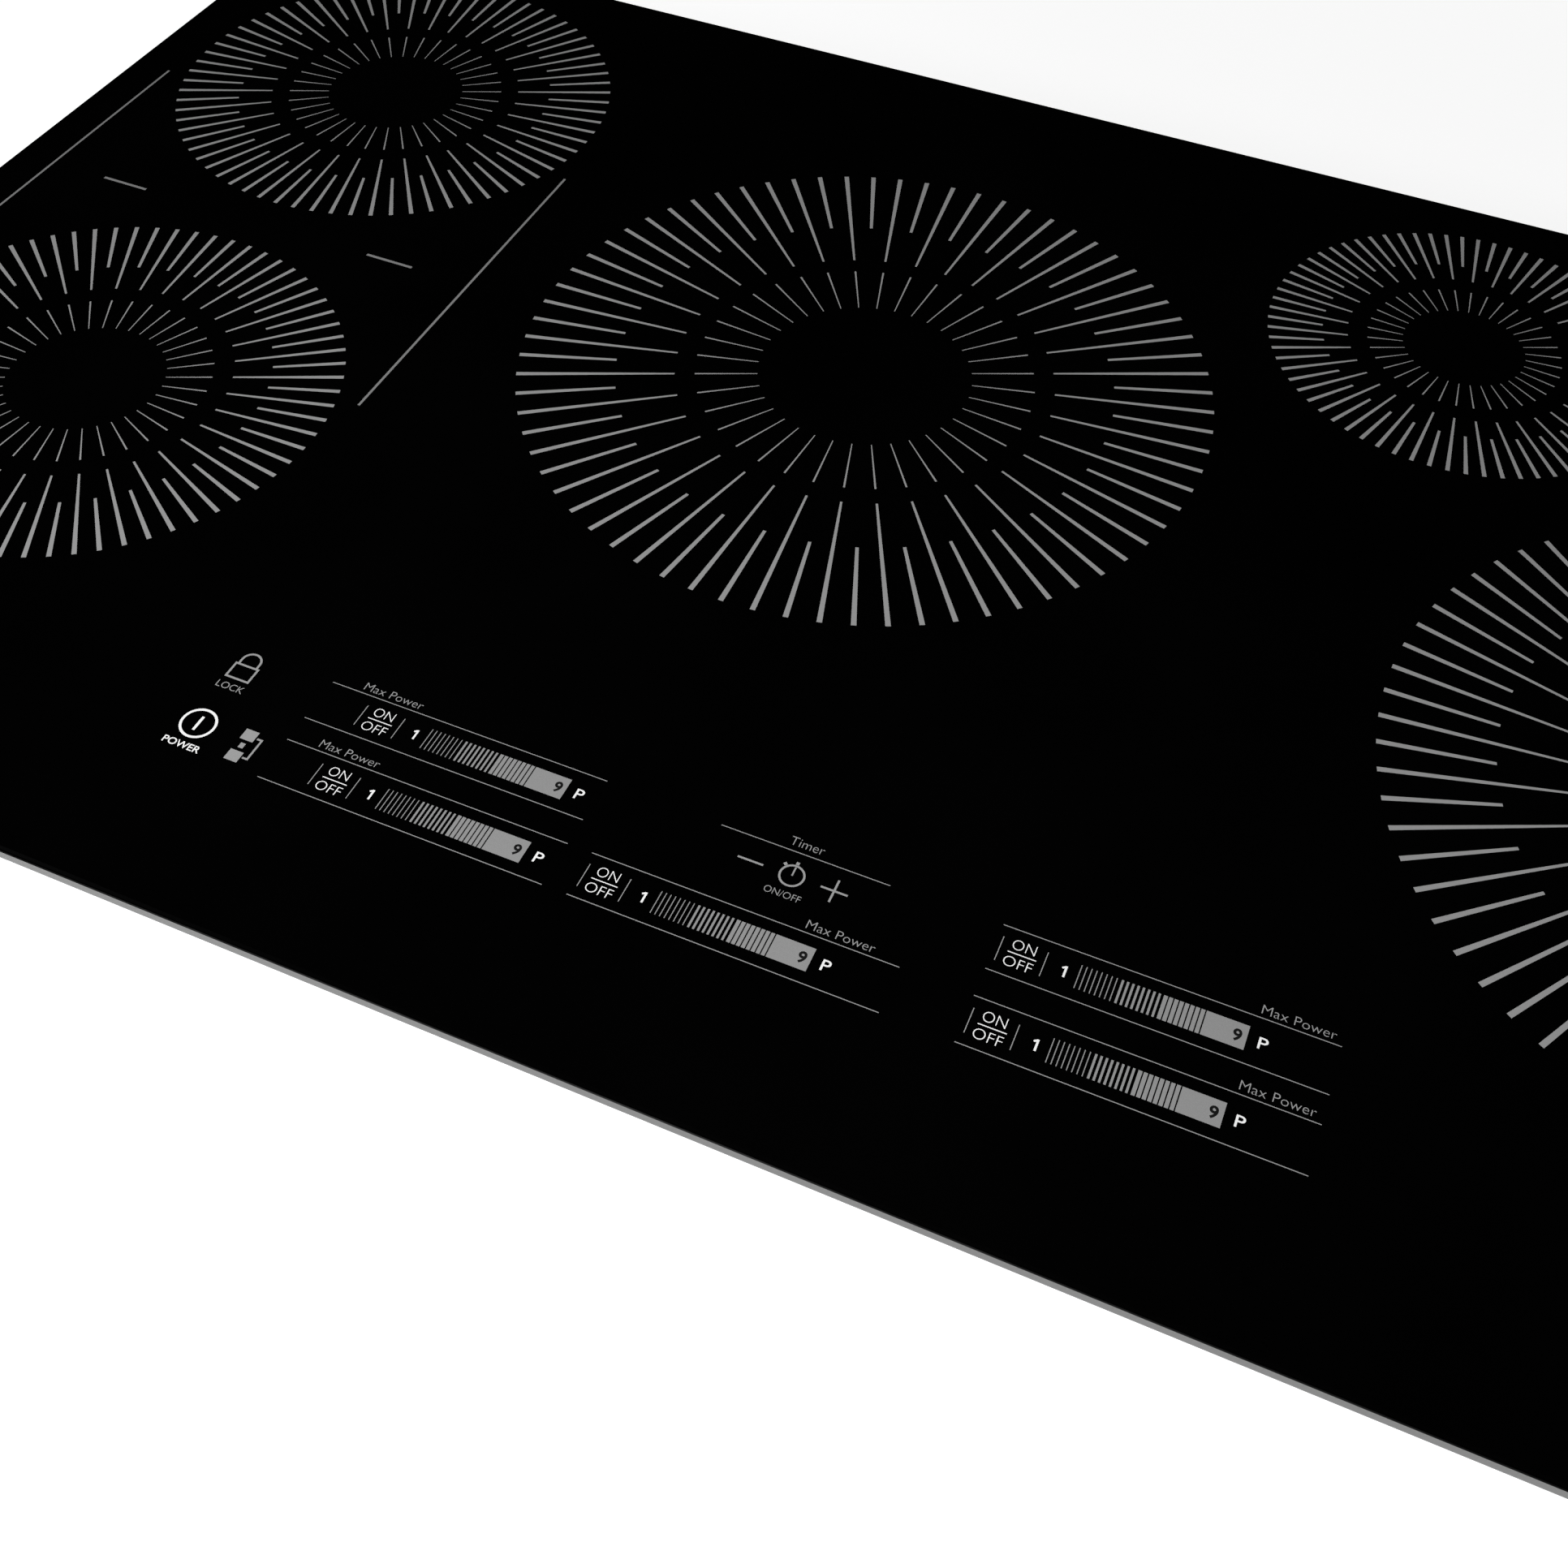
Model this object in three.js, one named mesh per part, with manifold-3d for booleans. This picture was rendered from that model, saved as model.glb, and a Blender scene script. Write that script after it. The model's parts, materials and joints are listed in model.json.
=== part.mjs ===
// A 36-inch drop-in electric induction cooktop with five zones, as an assembly of separate pieces.
//
// Units are millimetres, +Z is up, +X is to the user's right and +Y is to the back.
// The origin is the centre of the footprint, on the underside of the bottom pan.
// The glass rests on the worktop through a foam gasket, and the pan hangs in the cut-out below it.

import * as THREE from "three";
import { mergeVertices } from "three/addons/utils/BufferGeometryUtils.js";
import Module from "manifold-3d";

const wasm = await Module();
wasm.setup();

// ---------- driving dimensions ----------

const WIDTH = 924;
const DEPTH = 551;
const HEIGHT = 98;
const GAP = 0.3; // clearance kept between pieces that touch

const GLASS = { thickness: 4, chamfer: 0.8, corner: 6 };
const GLASS_UNDERSIDE = HEIGHT - GLASS.thickness;
const TRIM = { sheet: 0.5, belowTop: 1, foot: 14 };
const GASKET = { inset: 5, width: 9, thickness: 2, clearance: 0.2 };
const ADHESIVE = { insideRail: 3, corner: 8, width: 7, clearance: 0.1 };
const RAIL = { sheet: 1, flangeTop: 92.7, skirt: 16, outerInset: 15, clearance: 0.4 };
// The pan is set back further at the front than at the back, so its middle lies at y.
const PAN = { width: 876, depth: 484, y: 8, sheet: 1, height: 91.2, corner: 10 };
const PAN_BACK = PAN.y + PAN.depth / 2;
const BOSS = { radius: 4, top: 11.7, fromBoardEdge: 8, sides: 8 };
const BEAD = { width: 8, height: 2, length: 420, columns: [-213.5, -50, 80, 150] };

// Heating zones: centre of each coil and its outer radius.
const ZONES = {
  front_left: { x: -337, y: -77.8, radius: 90 },
  rear_left: { x: -337, y: 153.5, radius: 90 },
  centre: { x: -60.7, y: 53.5, radius: 128.1 },
  rear_right: { x: 156.3, y: 173.3, radius: 69.5 },
  front_right: { x: 302.3, y: -28.8, radius: 129.2 },
};

// Heights of the layers of one coil, from the aluminium plate up to the glass.
const COIL = {
  plateTop: 79.5,
  plateSheet: 1.5,
  formerBottom: 84.7,
  formerFloor: 2.7,
  rimTop: 92.4,
  rim: 2.5,
  windingTop: 92.6,
  hub: 16,
  micaThickness: 0.7,
  segments: 28,
};
const SENSOR = { bottom: 80, pad: 6, stem: 3.6, base: 9, hole: 12, micaHole: 10 };

const BOARD = { bottom: 12, thickness: 1.6 };
const BOARDS = {
  power_board_left: { x: -330, y: -50, width: 190, depth: 180 },
  power_board_centre: { x: -50, y: -58, width: 210, depth: 160 },
  power_board_right: { x: 310, y: -50, width: 210, depth: 180 },
  filter_board: { x: -50, y: 125, width: 210, depth: 150 },
};
const CONTROL = { x: -12, y: -198, width: 400, depth: 60, wall: 2, hollow: 7, leg: 8 };
const HEATSINK = { width: 84, base: 5, height: 32, fins: 11, finThickness: 2.2 };
const HEATSINKS = {
  left: { x: -330, y: -40, length: 150 },
  centre: { x: -50, y: -50, length: 120 },
  right: { x: 305, y: -40, length: 150 },
};
const BLOWER = {
  bottom: 1 + GAP,
  height: 27,
  wall: 1.4,
  cavity: 45,
  outletLeft: -15,
  outletLength: 66,
  inlet: 31,
  motor: 9,
  pin: 1.98,
};
const BLOWERS = {
  left: { x: -345, y: 118 },
  right: { x: 290, y: 118 },
};
const ROTOR = { radius: 38, bladeInner: 29, hub: 11, bore: 2.1, blades: 14, bottom: 4.2, top: 25 };
const CLAMP = {
  y: 170,
  plate: 1.6,
  width: 30,
  reach: 22,
  plateBottom: 28,
  plateTop: 66,
  arm: 32,
  screwOffset: 13,
  screwRadius: 2.9,
  hole: 3.4,
  headBottom: 3,
  headHeight: 5,
  headRadius: 7,
  padTop: 54,
  padHeight: 4,
  padRadius: 7.5,
};
const INLET = {
  x: 330,
  z: 36,
  hatchWidth: 90,
  hatchHeight: 46,
  cover: 1.2,
  coverBeside: 11,
  coverAbove: 8,
  bore: 8,
  thread: 11,
  threadLength: 8,
  hex: 15.5,
  hexLength: 7,
  nut: 3.6,
  barrel: 13.5,
  length: 22,
};
const TERMINAL = { width: 80, front: 205, back: 228, top: 24, ribs: 6, rib: 2, pitch: 15.6, ribTop: 32 };
const VENT = { width: 5, height: 22, bottom: 20, pitch: 15, sideSlots: 10, backSlots: 9 };
const BACK_VENTS = [-325, 20]; // middles of the two groups of slots in the back wall
const INTAKE = { slots: 5, pitch: 12.5, radius: 34 };

// ---------- materials ----------

const material = (color, roughness, metalness) =>
  new THREE.MeshStandardMaterial({ color, roughness, metalness });
const MATERIALS = {
  glass: material(0x050505, 0.08, 0),
  stainless: material(0xb4b4b2, 0.32, 1),
  foam: material(0x1c1c1e, 0.95, 0),
  silicone: material(0x2a2a2c, 0.6, 0),
  galvanised: material(0x9aa0a4, 0.45, 1),
  aluminium: material(0xc4c6c8, 0.35, 1),
  zinc: material(0xa8aaac, 0.4, 1),
  nylonBlack: material(0x18181a, 0.55, 0),
  nylonWhite: material(0xd8d5cb, 0.6, 0),
  copper: material(0xb8652f, 0.45, 1),
  mica: material(0xb9ac8e, 0.7, 0),
  board: material(0x1f5a34, 0.5, 0),
};

// ---------- geometry helpers ----------

// A three.js geometry as a manifold-3d solid.
function solid(geometry) {
  const plain = geometry.index ? geometry.toNonIndexed() : geometry.clone();
  plain.deleteAttribute("normal");
  plain.deleteAttribute("uv");
  const merged = mergeVertices(plain, 1e-4);
  return new wasm.Manifold(
    new wasm.Mesh({
      numProp: 3,
      vertProperties: merged.attributes.position.array,
      triVerts: new Uint32Array(merged.index.array),
    }),
  );
}

// A manifold-3d solid as a three.js geometry.
function geometryOf(manifold) {
  const mesh = manifold.getMesh();
  return new THREE.BufferGeometry()
    .setAttribute("position", new THREE.BufferAttribute(mesh.vertProperties, 3))
    .setIndex(new THREE.BufferAttribute(mesh.triVerts, 1));
}

const union = (geometries) => geometries.map(solid).reduce((sum, part) => sum.add(part));
const cut = (body, tools) => (tools.length ? body.subtract(union(tools)) : body);

// A box between two corners.
function box([x0, y0, z0], [x1, y1, z1]) {
  return new THREE.BoxGeometry(x1 - x0, y1 - y0, z1 - z0).translate(
    (x0 + x1) / 2,
    (y0 + y1) / 2,
    (z0 + z1) / 2,
  );
}

// A rectangle with round corners, centred on the origin.
function roundedRectangle(width, depth, radius, Kind = THREE.Shape) {
  const [x, y, turn] = [width / 2, depth / 2, Math.PI / 2];
  const outline = new Kind();
  outline.moveTo(-x + radius, -y);
  outline.absarc(x - radius, -y + radius, radius, -turn, 0);
  outline.absarc(x - radius, y - radius, radius, 0, turn);
  outline.absarc(-x + radius, y - radius, radius, turn, 2 * turn);
  outline.absarc(-x + radius, -y + radius, radius, 2 * turn, 3 * turn);
  return outline;
}

// A shape pulled up from one height to another.
const prism = (shape, bottom, top) =>
  new THREE.ExtrudeGeometry(shape, {
    depth: top - bottom,
    bevelEnabled: false,
    curveSegments: 4,
  }).translate(0, 0, bottom);

// A flat ring with round corners; the inner outline is set back by width on every side.
function ring(width, depth, radius, band, bottom, top) {
  const shape = roundedRectangle(width, depth, radius);
  const innerRadius = Math.max(radius - band, 0.5);
  shape.holes.push(
    roundedRectangle(width - 2 * band, depth - 2 * band, innerRadius, THREE.Path),
  );
  return prism(shape, bottom, top);
}

// A body of revolution about +Z from [radius, height] pairs, going up the outside.
const lathe = (profile, segments = COIL.segments) =>
  new THREE.LatheGeometry(
    profile.map(([radius, height]) => new THREE.Vector2(radius, height)),
    segments,
  ).rotateX(Math.PI / 2);

const disc = (radius, bottom, top, segments = 24) =>
  new THREE.CylinderGeometry(radius, radius, top - bottom, segments)
    .rotateX(Math.PI / 2)
    .translate(0, 0, (bottom + top) / 2);

const tube = (outer, inner, bottom, top, segments) =>
  lathe(
    [
      [inner, bottom],
      [outer, bottom],
      [outer, top],
      [inner, top],
      [inner, bottom],
    ],
    segments,
  );

// Offsets at one pitch, evenly spaced about zero.
const spaced = (count, pitch) =>
  Array.from({ length: count }, (_, i) => (i - (count - 1) / 2) * pitch);

const ordered = (a, b) => [Math.min(a, b), Math.max(a, b)];

const cooktop = new THREE.Group();
cooktop.name = "induction_cooktop";

function add(name, geometry, look, position = [0, 0, 0]) {
  const mesh = new THREE.Mesh(geometry, MATERIALS[look]);
  mesh.name = name;
  mesh.position.set(...position);
  cooktop.add(mesh);
}

// ---------- glass, edge trim and seals ----------

function addGlass() {
  const edge = 2 * (TRIM.sheet + GAP);
  const { thickness, chamfer, corner } = GLASS;
  const shape = roundedRectangle(WIDTH - edge, DEPTH - edge, corner - edge / 2);
  const glass = new THREE.ExtrudeGeometry(shape, {
    depth: thickness - 2 * chamfer,
    bevelThickness: chamfer,
    bevelSize: chamfer,
    bevelOffset: -chamfer,
    bevelSegments: 1,
    curveSegments: 5,
  }).translate(0, 0, GLASS_UNDERSIDE + chamfer);
  add("glass_top", glass, "glass");
}

// A folded stainless strip: a lip round the glass edge and a foot under it.
function addEdgeTrim() {
  const footTop = GLASS_UNDERSIDE - 0.1;
  const bottom = footTop - TRIM.sheet;
  const lip = ring(WIDTH, DEPTH, GLASS.corner, TRIM.sheet, bottom, HEIGHT - TRIM.belowTop);
  const foot = ring(WIDTH, DEPTH, GLASS.corner, TRIM.foot, bottom, footTop);
  add("edge_trim", geometryOf(union([lip, foot])), "stainless");
  return bottom;
}

// Four strips of foam tape, butted at the corners.
function addGaskets(underTrim) {
  const top = underTrim - GASKET.clearance;
  const bottom = top - GASKET.thickness;
  const [x, y] = [WIDTH / 2 - GASKET.inset, DEPTH / 2 - GASKET.inset];
  const w = GASKET.width;
  add("gasket_front", box([-x, -y, bottom], [x, -y + w, top]), "foam");
  add("gasket_back", box([-x, y - w, bottom], [x, y, top]), "foam");
  const side = y - w - GAP;
  add("gasket_left", box([-x, -side, bottom], [-x + w, side, top]), "foam");
  add("gasket_right", box([x - w, -side, bottom], [x, side, top]), "foam");
}

// The silicone bead that bonds the glass to the frame rails.
function addAdhesive() {
  const { insideRail, corner, width, clearance } = ADHESIVE;
  const inset = 2 * (RAIL.outerInset + insideRail);
  const [bottom, top] = [RAIL.flangeTop + clearance, GLASS_UNDERSIDE - clearance];
  const bead = ring(WIDTH - inset, DEPTH - inset, corner, width, bottom, top);
  add("glass_adhesive", bead, "silicone");
}

// ---------- frame rails and bottom pan ----------

// Four folded rails: a flange bonded under the glass and a skirt inside the pan wall.
function addFrameRails() {
  const [outerX, outerY] = [WIDTH / 2 - RAIL.outerInset, DEPTH / 2 - RAIL.outerInset];
  const skirtX = PAN.width / 2 - PAN.sheet - RAIL.clearance;
  const skirtY = PAN.depth / 2 - PAN.sheet - RAIL.clearance;
  const top = RAIL.flangeTop;
  const under = top - RAIL.sheet;
  const low = under - RAIL.skirt;
  const t = RAIL.sheet;
  const long = skirtX - PAN.corner;
  const short = skirtY - PAN.corner;
  const end = skirtY - t - GAP;
  for (const [name, side] of [["front", -1], ["back", 1]]) {
    const inner = PAN.y + side * (skirtY - t);
    const [f0, f1] = ordered(inner, side * outerY);
    const [s0, s1] = ordered(inner, PAN.y + side * skirtY);
    const flange = box([-outerX, f0, under], [outerX, f1, top]);
    const skirt = box([-long, s0, low], [long, s1, under + t / 2]);
    add(`frame_rail_${name}`, geometryOf(union([flange, skirt])), "galvanised");
  }
  for (const [name, side] of [["left", -1], ["right", 1]]) {
    const inner = side * (skirtX - t);
    const [f0, f1] = ordered(inner, side * outerX);
    const [s0, s1] = ordered(inner, side * skirtX);
    const flange = box([f0, PAN.y - end, under], [f1, PAN.y + end, top]);
    const skirt = box([s0, PAN.y - short, low], [s1, PAN.y + short, under + t / 2]);
    add(`frame_rail_${name}`, geometryOf(union([flange, skirt])), "galvanised");
  }
}

// Round bosses pressed up from the floor, one under each corner of each board.
function boardBosses() {
  return Object.values(BOARDS).flatMap(({ x, y, width, depth }) =>
    [-1, 1].flatMap((i) =>
      [-1, 1].map((j) =>
        disc(BOSS.radius, PAN.sheet / 2, BOSS.top, BOSS.sides).translate(
          x + i * (width / 2 - BOSS.fromBoardEdge),
          y + j * (depth / 2 - BOSS.fromBoardEdge),
          0,
        ),
      ),
    ),
  );
}

// Air slots: intake slots under each blower, exhaust slots in the side and back walls.
function ventCutters() {
  const through = 3 * PAN.sheet;
  const half = VENT.width / 2;
  const cutters = [];
  for (const { x, y } of Object.values(BLOWERS))
    for (const dx of spaced(INTAKE.slots, INTAKE.pitch)) {
      const reach = Math.sqrt(INTAKE.radius ** 2 - dx ** 2);
      cutters.push(
        box([x + dx - half, y - reach, -through], [x + dx + half, y + reach, through]),
      );
    }
  const [low, high] = [VENT.bottom, VENT.bottom + VENT.height];
  for (const dy of spaced(VENT.sideSlots, VENT.pitch))
    for (const side of [-1, 1]) {
      const x = (side * PAN.width) / 2;
      const y = PAN.y + dy;
      cutters.push(box([x - through, y - half, low], [x + through, y + half, high]));
    }
  for (const middle of BACK_VENTS)
    for (const dx of spaced(VENT.backSlots, VENT.pitch)) {
      const x = middle + dx;
      cutters.push(
        box([x - half, PAN_BACK - through, low], [x + half, PAN_BACK + through, high]),
      );
    }
  return cutters;
}

// Stiffening beads pressed up into the floor: the raised sheet, and the groove left under it.
function floorBeads(grow, low, high) {
  const [halfWidth, halfLength] = [BEAD.width / 2 + grow, BEAD.length / 2 + grow];
  return BEAD.columns.map((x) =>
    box([x - halfWidth, PAN.y - halfLength, low], [x + halfWidth, PAN.y + halfLength, high]),
  );
}

function addBottomPan() {
  const { width, depth, y, sheet, height, corner } = PAN;
  const outside = prism(roundedRectangle(width, depth, corner), 0, height).translate(0, y, 0);
  const inside = prism(
    roundedRectangle(width - 2 * sheet, depth - 2 * sheet, corner - sheet),
    sheet,
    height + 1,
  ).translate(0, y, 0);
  const raised = [...boardBosses(), ...floorBeads(sheet, sheet / 2, BEAD.height + sheet)];
  const through = 3 * sheet;
  const hatch = box(
    [INLET.x - INLET.hatchWidth / 2, PAN_BACK - through, INLET.z - INLET.hatchHeight / 2],
    [INLET.x + INLET.hatchWidth / 2, PAN_BACK + through, INLET.z + INLET.hatchHeight / 2],
  );
  const shell = solid(outside).subtract(solid(inside)).add(union(raised));
  const cutters = [hatch, ...ventCutters(), ...floorBeads(0, -sheet, BEAD.height)];
  add("bottom_pan", geometryOf(cut(shell, cutters)), "galvanised");
}

// ---------- supply inlet ----------

// A lathe profile turned so that its axis runs along +Y through the inlet.
const alongInlet = (geometry, y) => geometry.rotateX(-Math.PI / 2).translate(INLET.x, y, INLET.z);

function addInlet() {
  const coverIn = PAN_BACK + GAP;
  const coverOut = coverIn + INLET.cover;
  const halfWidth = INLET.hatchWidth / 2 + INLET.coverBeside;
  const halfHeight = INLET.hatchHeight / 2 + INLET.coverAbove;
  const plate = box(
    [INLET.x - halfWidth, coverIn, INLET.z - halfHeight],
    [INLET.x + halfWidth, coverOut, INLET.z + halfHeight],
  );
  const hole = alongInlet(disc(INLET.thread + GAP, -5, 5), PAN_BACK);
  add("inlet_cover", geometryOf(cut(solid(plate), [hole])), "galvanised");

  const flange = coverOut + GAP;
  const overlap = 0.5; // how far the gland's joined sections run into each other
  const body = union([
    alongInlet(disc(INLET.hex, 0, INLET.hexLength, 6), flange),
    alongInlet(disc(INLET.barrel, INLET.hexLength - overlap, INLET.length), flange),
    alongInlet(disc(INLET.thread, -INLET.threadLength, overlap), flange),
  ]);
  const bore = alongInlet(disc(INLET.bore, -20, 40), flange);
  add("conduit_gland", geometryOf(cut(body, [bore])), "zinc");

  const nut = solid(alongInlet(disc(INLET.hex, -INLET.nut, 0, 6), coverIn - GAP));
  const nutHole = alongInlet(disc(INLET.thread + GAP, -5, 5), coverIn - 2);
  add("gland_locknut", geometryOf(cut(nut, [nutHole])), "zinc");
}

// The terminal block behind the inlet: a base with ribs that part its screws.
function addTerminalBlock() {
  const { width, front, back, top, ribs, rib, pitch, ribTop } = TERMINAL;
  const block = [
    box([INLET.x - width / 2, front, PAN.sheet + GAP], [INLET.x + width / 2, back, top]),
  ];
  for (const dx of spaced(ribs, pitch)) {
    const x = INLET.x + dx;
    block.push(box([x - rib / 2, front, top - 1], [x + rib / 2, back, ribTop]));
  }
  add("terminal_block", geometryOf(union(block)), "nylonBlack");
}

// ---------- hold-down clamps ----------

const CLAMPS = {
  front_left: [-1, -1],
  rear_left: [-1, 1],
  front_right: [1, -1],
  rear_right: [1, 1],
};

// An L bracket on the pan wall, and a screw through its arm that bears up on the worktop.
function addClamps() {
  const { headBottom, headHeight, headRadius, padTop, padHeight, padRadius, screwRadius } = CLAMP;
  const wall = PAN.width / 2 + GAP;
  const half = CLAMP.width / 2;
  const screwX = PAN.width / 2 + CLAMP.screwOffset;
  for (const [name, [sideX, sideY]] of Object.entries(CLAMPS)) {
    const y = sideY * CLAMP.y;
    const [p0, p1] = ordered(sideX * wall, sideX * (wall + CLAMP.plate));
    const [a0, a1] = ordered(sideX * wall, sideX * (wall + CLAMP.reach));
    const bottom = CLAMP.arm - 2;
    const bracket = union([
      box([p0, y - half, CLAMP.plateBottom], [p1, y + half, CLAMP.plateTop]),
      box([a0, y - half, bottom], [a1, y + half, CLAMP.arm]),
    ]);
    const hole = disc(CLAMP.hole, bottom - 5, CLAMP.arm + 5, 16).translate(sideX * screwX, y, 0);
    add(`clamp_bracket_${name}`, geometryOf(cut(bracket, [hole])), "zinc");

    const [headTop, padBottom] = [headBottom + headHeight, padTop - padHeight];
    const screw = union([
      disc(headRadius, headBottom, headTop, 6),
      disc(screwRadius, headTop - 1, padBottom + 1, 16),
      disc(padRadius, padBottom, padTop, 20),
    ]);
    add(`clamp_screw_${name}`, geometryOf(screw), "zinc", [sideX * screwX, y, 0]);
  }
}

// ---------- coil plates and coils ----------

const PLATES = {
  left: { x0: -432, x1: -215, zones: ["front_left", "rear_left"] },
  centre: { x0: -212, x1: 78, zones: ["centre"] },
  right: { x0: 81, x1: 433, zones: ["rear_right", "front_right"] },
};
const PLATE_FRONT = -165;
const PLATE_BACK = 245;
const LEG = { width: 30, inset: 10, foot: 12 };

// Each plate stands on four folded legs on the pan floor and has a hole under each sensor.
function addCoilPlates() {
  const top = COIL.plateTop;
  const sheet = COIL.plateSheet;
  const floor = PAN.sheet + GAP;
  for (const [name, { x0, x1, zones }] of Object.entries(PLATES)) {
    const pieces = [box([x0, PLATE_FRONT, top - sheet], [x1, PLATE_BACK, top])];
    for (const legX of [x0 + LEG.inset, x1 - LEG.inset - LEG.width])
      for (const [y, inward] of [[PLATE_FRONT, 1], [PLATE_BACK, -1]]) {
        const [l0, l1] = ordered(y, y + inward * sheet);
        const [f0, f1] = ordered(y, y + inward * LEG.foot);
        pieces.push(box([legX, l0, floor], [legX + LEG.width, l1, top - sheet / 2]));
        pieces.push(box([legX, f0, floor], [legX + LEG.width, f1, floor + sheet]));
      }
    const holes = zones.map((zone) =>
      disc(SENSOR.hole, top - 5, top + 5, 16).translate(ZONES[zone].x, ZONES[zone].y, 0),
    );
    add(`coil_plate_${name}`, geometryOf(cut(union(pieces), holes)), "aluminium");
  }
}

// One coil: a moulded former, the litz winding in it, a mica disc over it and a sprung
// temperature sensor through its hub.
function addCoils() {
  const { formerBottom, formerFloor, rimTop, rim, windingTop, hub } = COIL;
  const floor = formerBottom + formerFloor;
  const micaTop = GLASS_UNDERSIDE - GAP;
  for (const [name, { x, y, radius }] of Object.entries(ZONES)) {
    const inner = hub + rim;
    const outer = radius - rim;
    const former = lathe([
      [hub, formerBottom],
      [radius, formerBottom],
      [radius, rimTop],
      [outer, rimTop],
      [outer, floor],
      [inner, floor],
      [inner, rimTop],
      [hub, rimTop],
      [hub, formerBottom],
    ]);
    add(`coil_former_${name}`, former, "nylonWhite", [x, y, 0]);
    const winding = tube(outer - 0.6, inner + 0.6, floor + GAP, windingTop);
    add(`coil_winding_${name}`, winding, "copper", [x, y, 0]);
    const mica = tube(radius, SENSOR.micaHole, micaTop - COIL.micaThickness, micaTop);
    add(`mica_disc_${name}`, mica, "mica", [x, y, 0]);
    const sensor = lathe(
      [
        [0, SENSOR.bottom],
        [SENSOR.base, SENSOR.bottom],
        [SENSOR.base, SENSOR.bottom + 3],
        [SENSOR.stem, SENSOR.bottom + 4],
        [SENSOR.stem, micaTop - 4],
        [SENSOR.pad, micaTop - 3],
        [SENSOR.pad, micaTop],
        [0, micaTop],
      ],
      12,
    );
    add(`temperature_sensor_${name}`, sensor, "nylonWhite", [x, y, 0]);
  }
}

// ---------- electronics ----------

function addBoards() {
  const { bottom, thickness } = BOARD;
  for (const [name, { x, y, width, depth }] of Object.entries(BOARDS)) {
    const board = box(
      [x - width / 2, y - depth / 2, bottom],
      [x + width / 2, y + depth / 2, bottom + thickness],
    );
    add(name, board, "board");
  }
}

// A comb section, extruded along Y.
function heatsink(length) {
  const { width, base, height, fins, finThickness } = HEATSINK;
  const shape = new THREE.Shape();
  const pitch = (width - finThickness) / (fins - 1);
  shape.moveTo(-width / 2, 0);
  shape.lineTo(width / 2, 0);
  for (let i = fins - 1; i >= 0; i--) {
    const left = -width / 2 + i * pitch;
    shape.lineTo(left + finThickness, i === fins - 1 ? 0 : base);
    shape.lineTo(left + finThickness, height);
    shape.lineTo(left, height);
    shape.lineTo(left, i === 0 ? 0 : base);
  }
  return new THREE.ExtrudeGeometry(shape, { depth: length, bevelEnabled: false })
    .rotateX(Math.PI / 2)
    .translate(0, length / 2, 0);
}

function addHeatsinks() {
  const z = BOARD.bottom + BOARD.thickness + GAP;
  for (const [name, { x, y, length }] of Object.entries(HEATSINKS))
    add(`heatsink_${name}`, heatsink(length), "aluminium", [x, y, z]);
}

// A centrifugal blower: it draws air up through the pan floor and blows it forwards.
function addBlowers() {
  const { bottom, height, wall, cavity, outletLeft, outletLength, inlet, motor, pin } = BLOWER;
  const top = bottom + height;
  const shell = (grow, low, high, reach) =>
    union([
      disc(cavity + grow, low, high, 32),
      box([outletLeft - grow, -reach, low], [cavity + grow, 0, high]),
    ]);
  for (const [name, { x, y }] of Object.entries(BLOWERS)) {
    const room = shell(0, bottom + wall, top - wall, outletLength + 5);
    const mouth = solid(disc(inlet, bottom - 1, bottom + wall + 1, 24));
    const axle = solid(disc(pin, ROTOR.bottom + 4, top - wall / 2, 12));
    const boss = solid(disc(motor, ROTOR.top + 2 * GAP, top - wall / 2, 16));
    const housing = shell(wall, bottom, top, outletLength).subtract(room).subtract(mouth);
    add(
      `blower_housing_${name}`,
      geometryOf(housing.add(axle).add(boss)),
      "nylonBlack",
      [x, y, 0],
    );
    add(`blower_rotor_${name}`, rotor(), "nylonBlack", [x, y, 0]);
  }
}

// A back plate with a hub, curved-in blades and a ring that ties the blade tips together.
function rotor() {
  const { radius, bladeInner, hub, bore, blades, bottom, top } = ROTOR;
  const pieces = [
    disc(radius - 0.5, top - 1.6, top, 28),
    disc(hub, bottom + 3, top - 1, 20),
    tube(radius, radius - 2.5, bottom, bottom + 1.6, 28),
  ];
  for (let i = 0; i < blades; i++)
    pieces.push(
      box([bladeInner, -0.6, bottom + 0.8], [radius - 1, 0.6, top - 0.8])
        .translate(-bladeInner, 0, 0)
        .rotateZ(0.45)
        .translate(bladeInner, 0, 0)
        .rotateZ((2 * Math.PI * i) / blades),
    );
  return geometryOf(cut(union(pieces), [disc(bore, bottom - 5, top + 5, 16)]));
}

// The touch control: a moulded tray on four legs, with its board on top.
function addControls() {
  const { x, y, width, depth, wall, hollow, leg } = CONTROL;
  const [halfX, halfY] = [width / 2, depth / 2];
  const boardTop = GLASS_UNDERSIDE - GAP;
  const top = boardTop - BOARD.thickness - GAP;
  const bottom = top - hollow - wall;
  const floor = PAN.sheet + GAP;
  const outside = [box([-halfX, -halfY, bottom], [halfX, halfY, top])];
  for (const i of [-1, 1])
    for (const j of [-1, 1]) {
      const [legX, legY] = [i * (halfX - leg), j * (halfY - leg)];
      outside.push(
        box([legX - leg / 2, legY - leg / 2, floor], [legX + leg / 2, legY + leg / 2, bottom + 1]),
      );
    }
  const inside = box(
    [-halfX + wall, -halfY + wall, bottom + wall],
    [halfX - wall, halfY - wall, top + 1],
  );
  const tray = geometryOf(cut(union(outside), [inside]));
  add("control_carrier", tray, "nylonBlack", [x, y, 0]);
  const board = box([-halfX, -halfY, top + GAP], [halfX, halfY, boardTop]);
  add("control_board", board, "board", [x, y, 0]);
}

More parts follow.
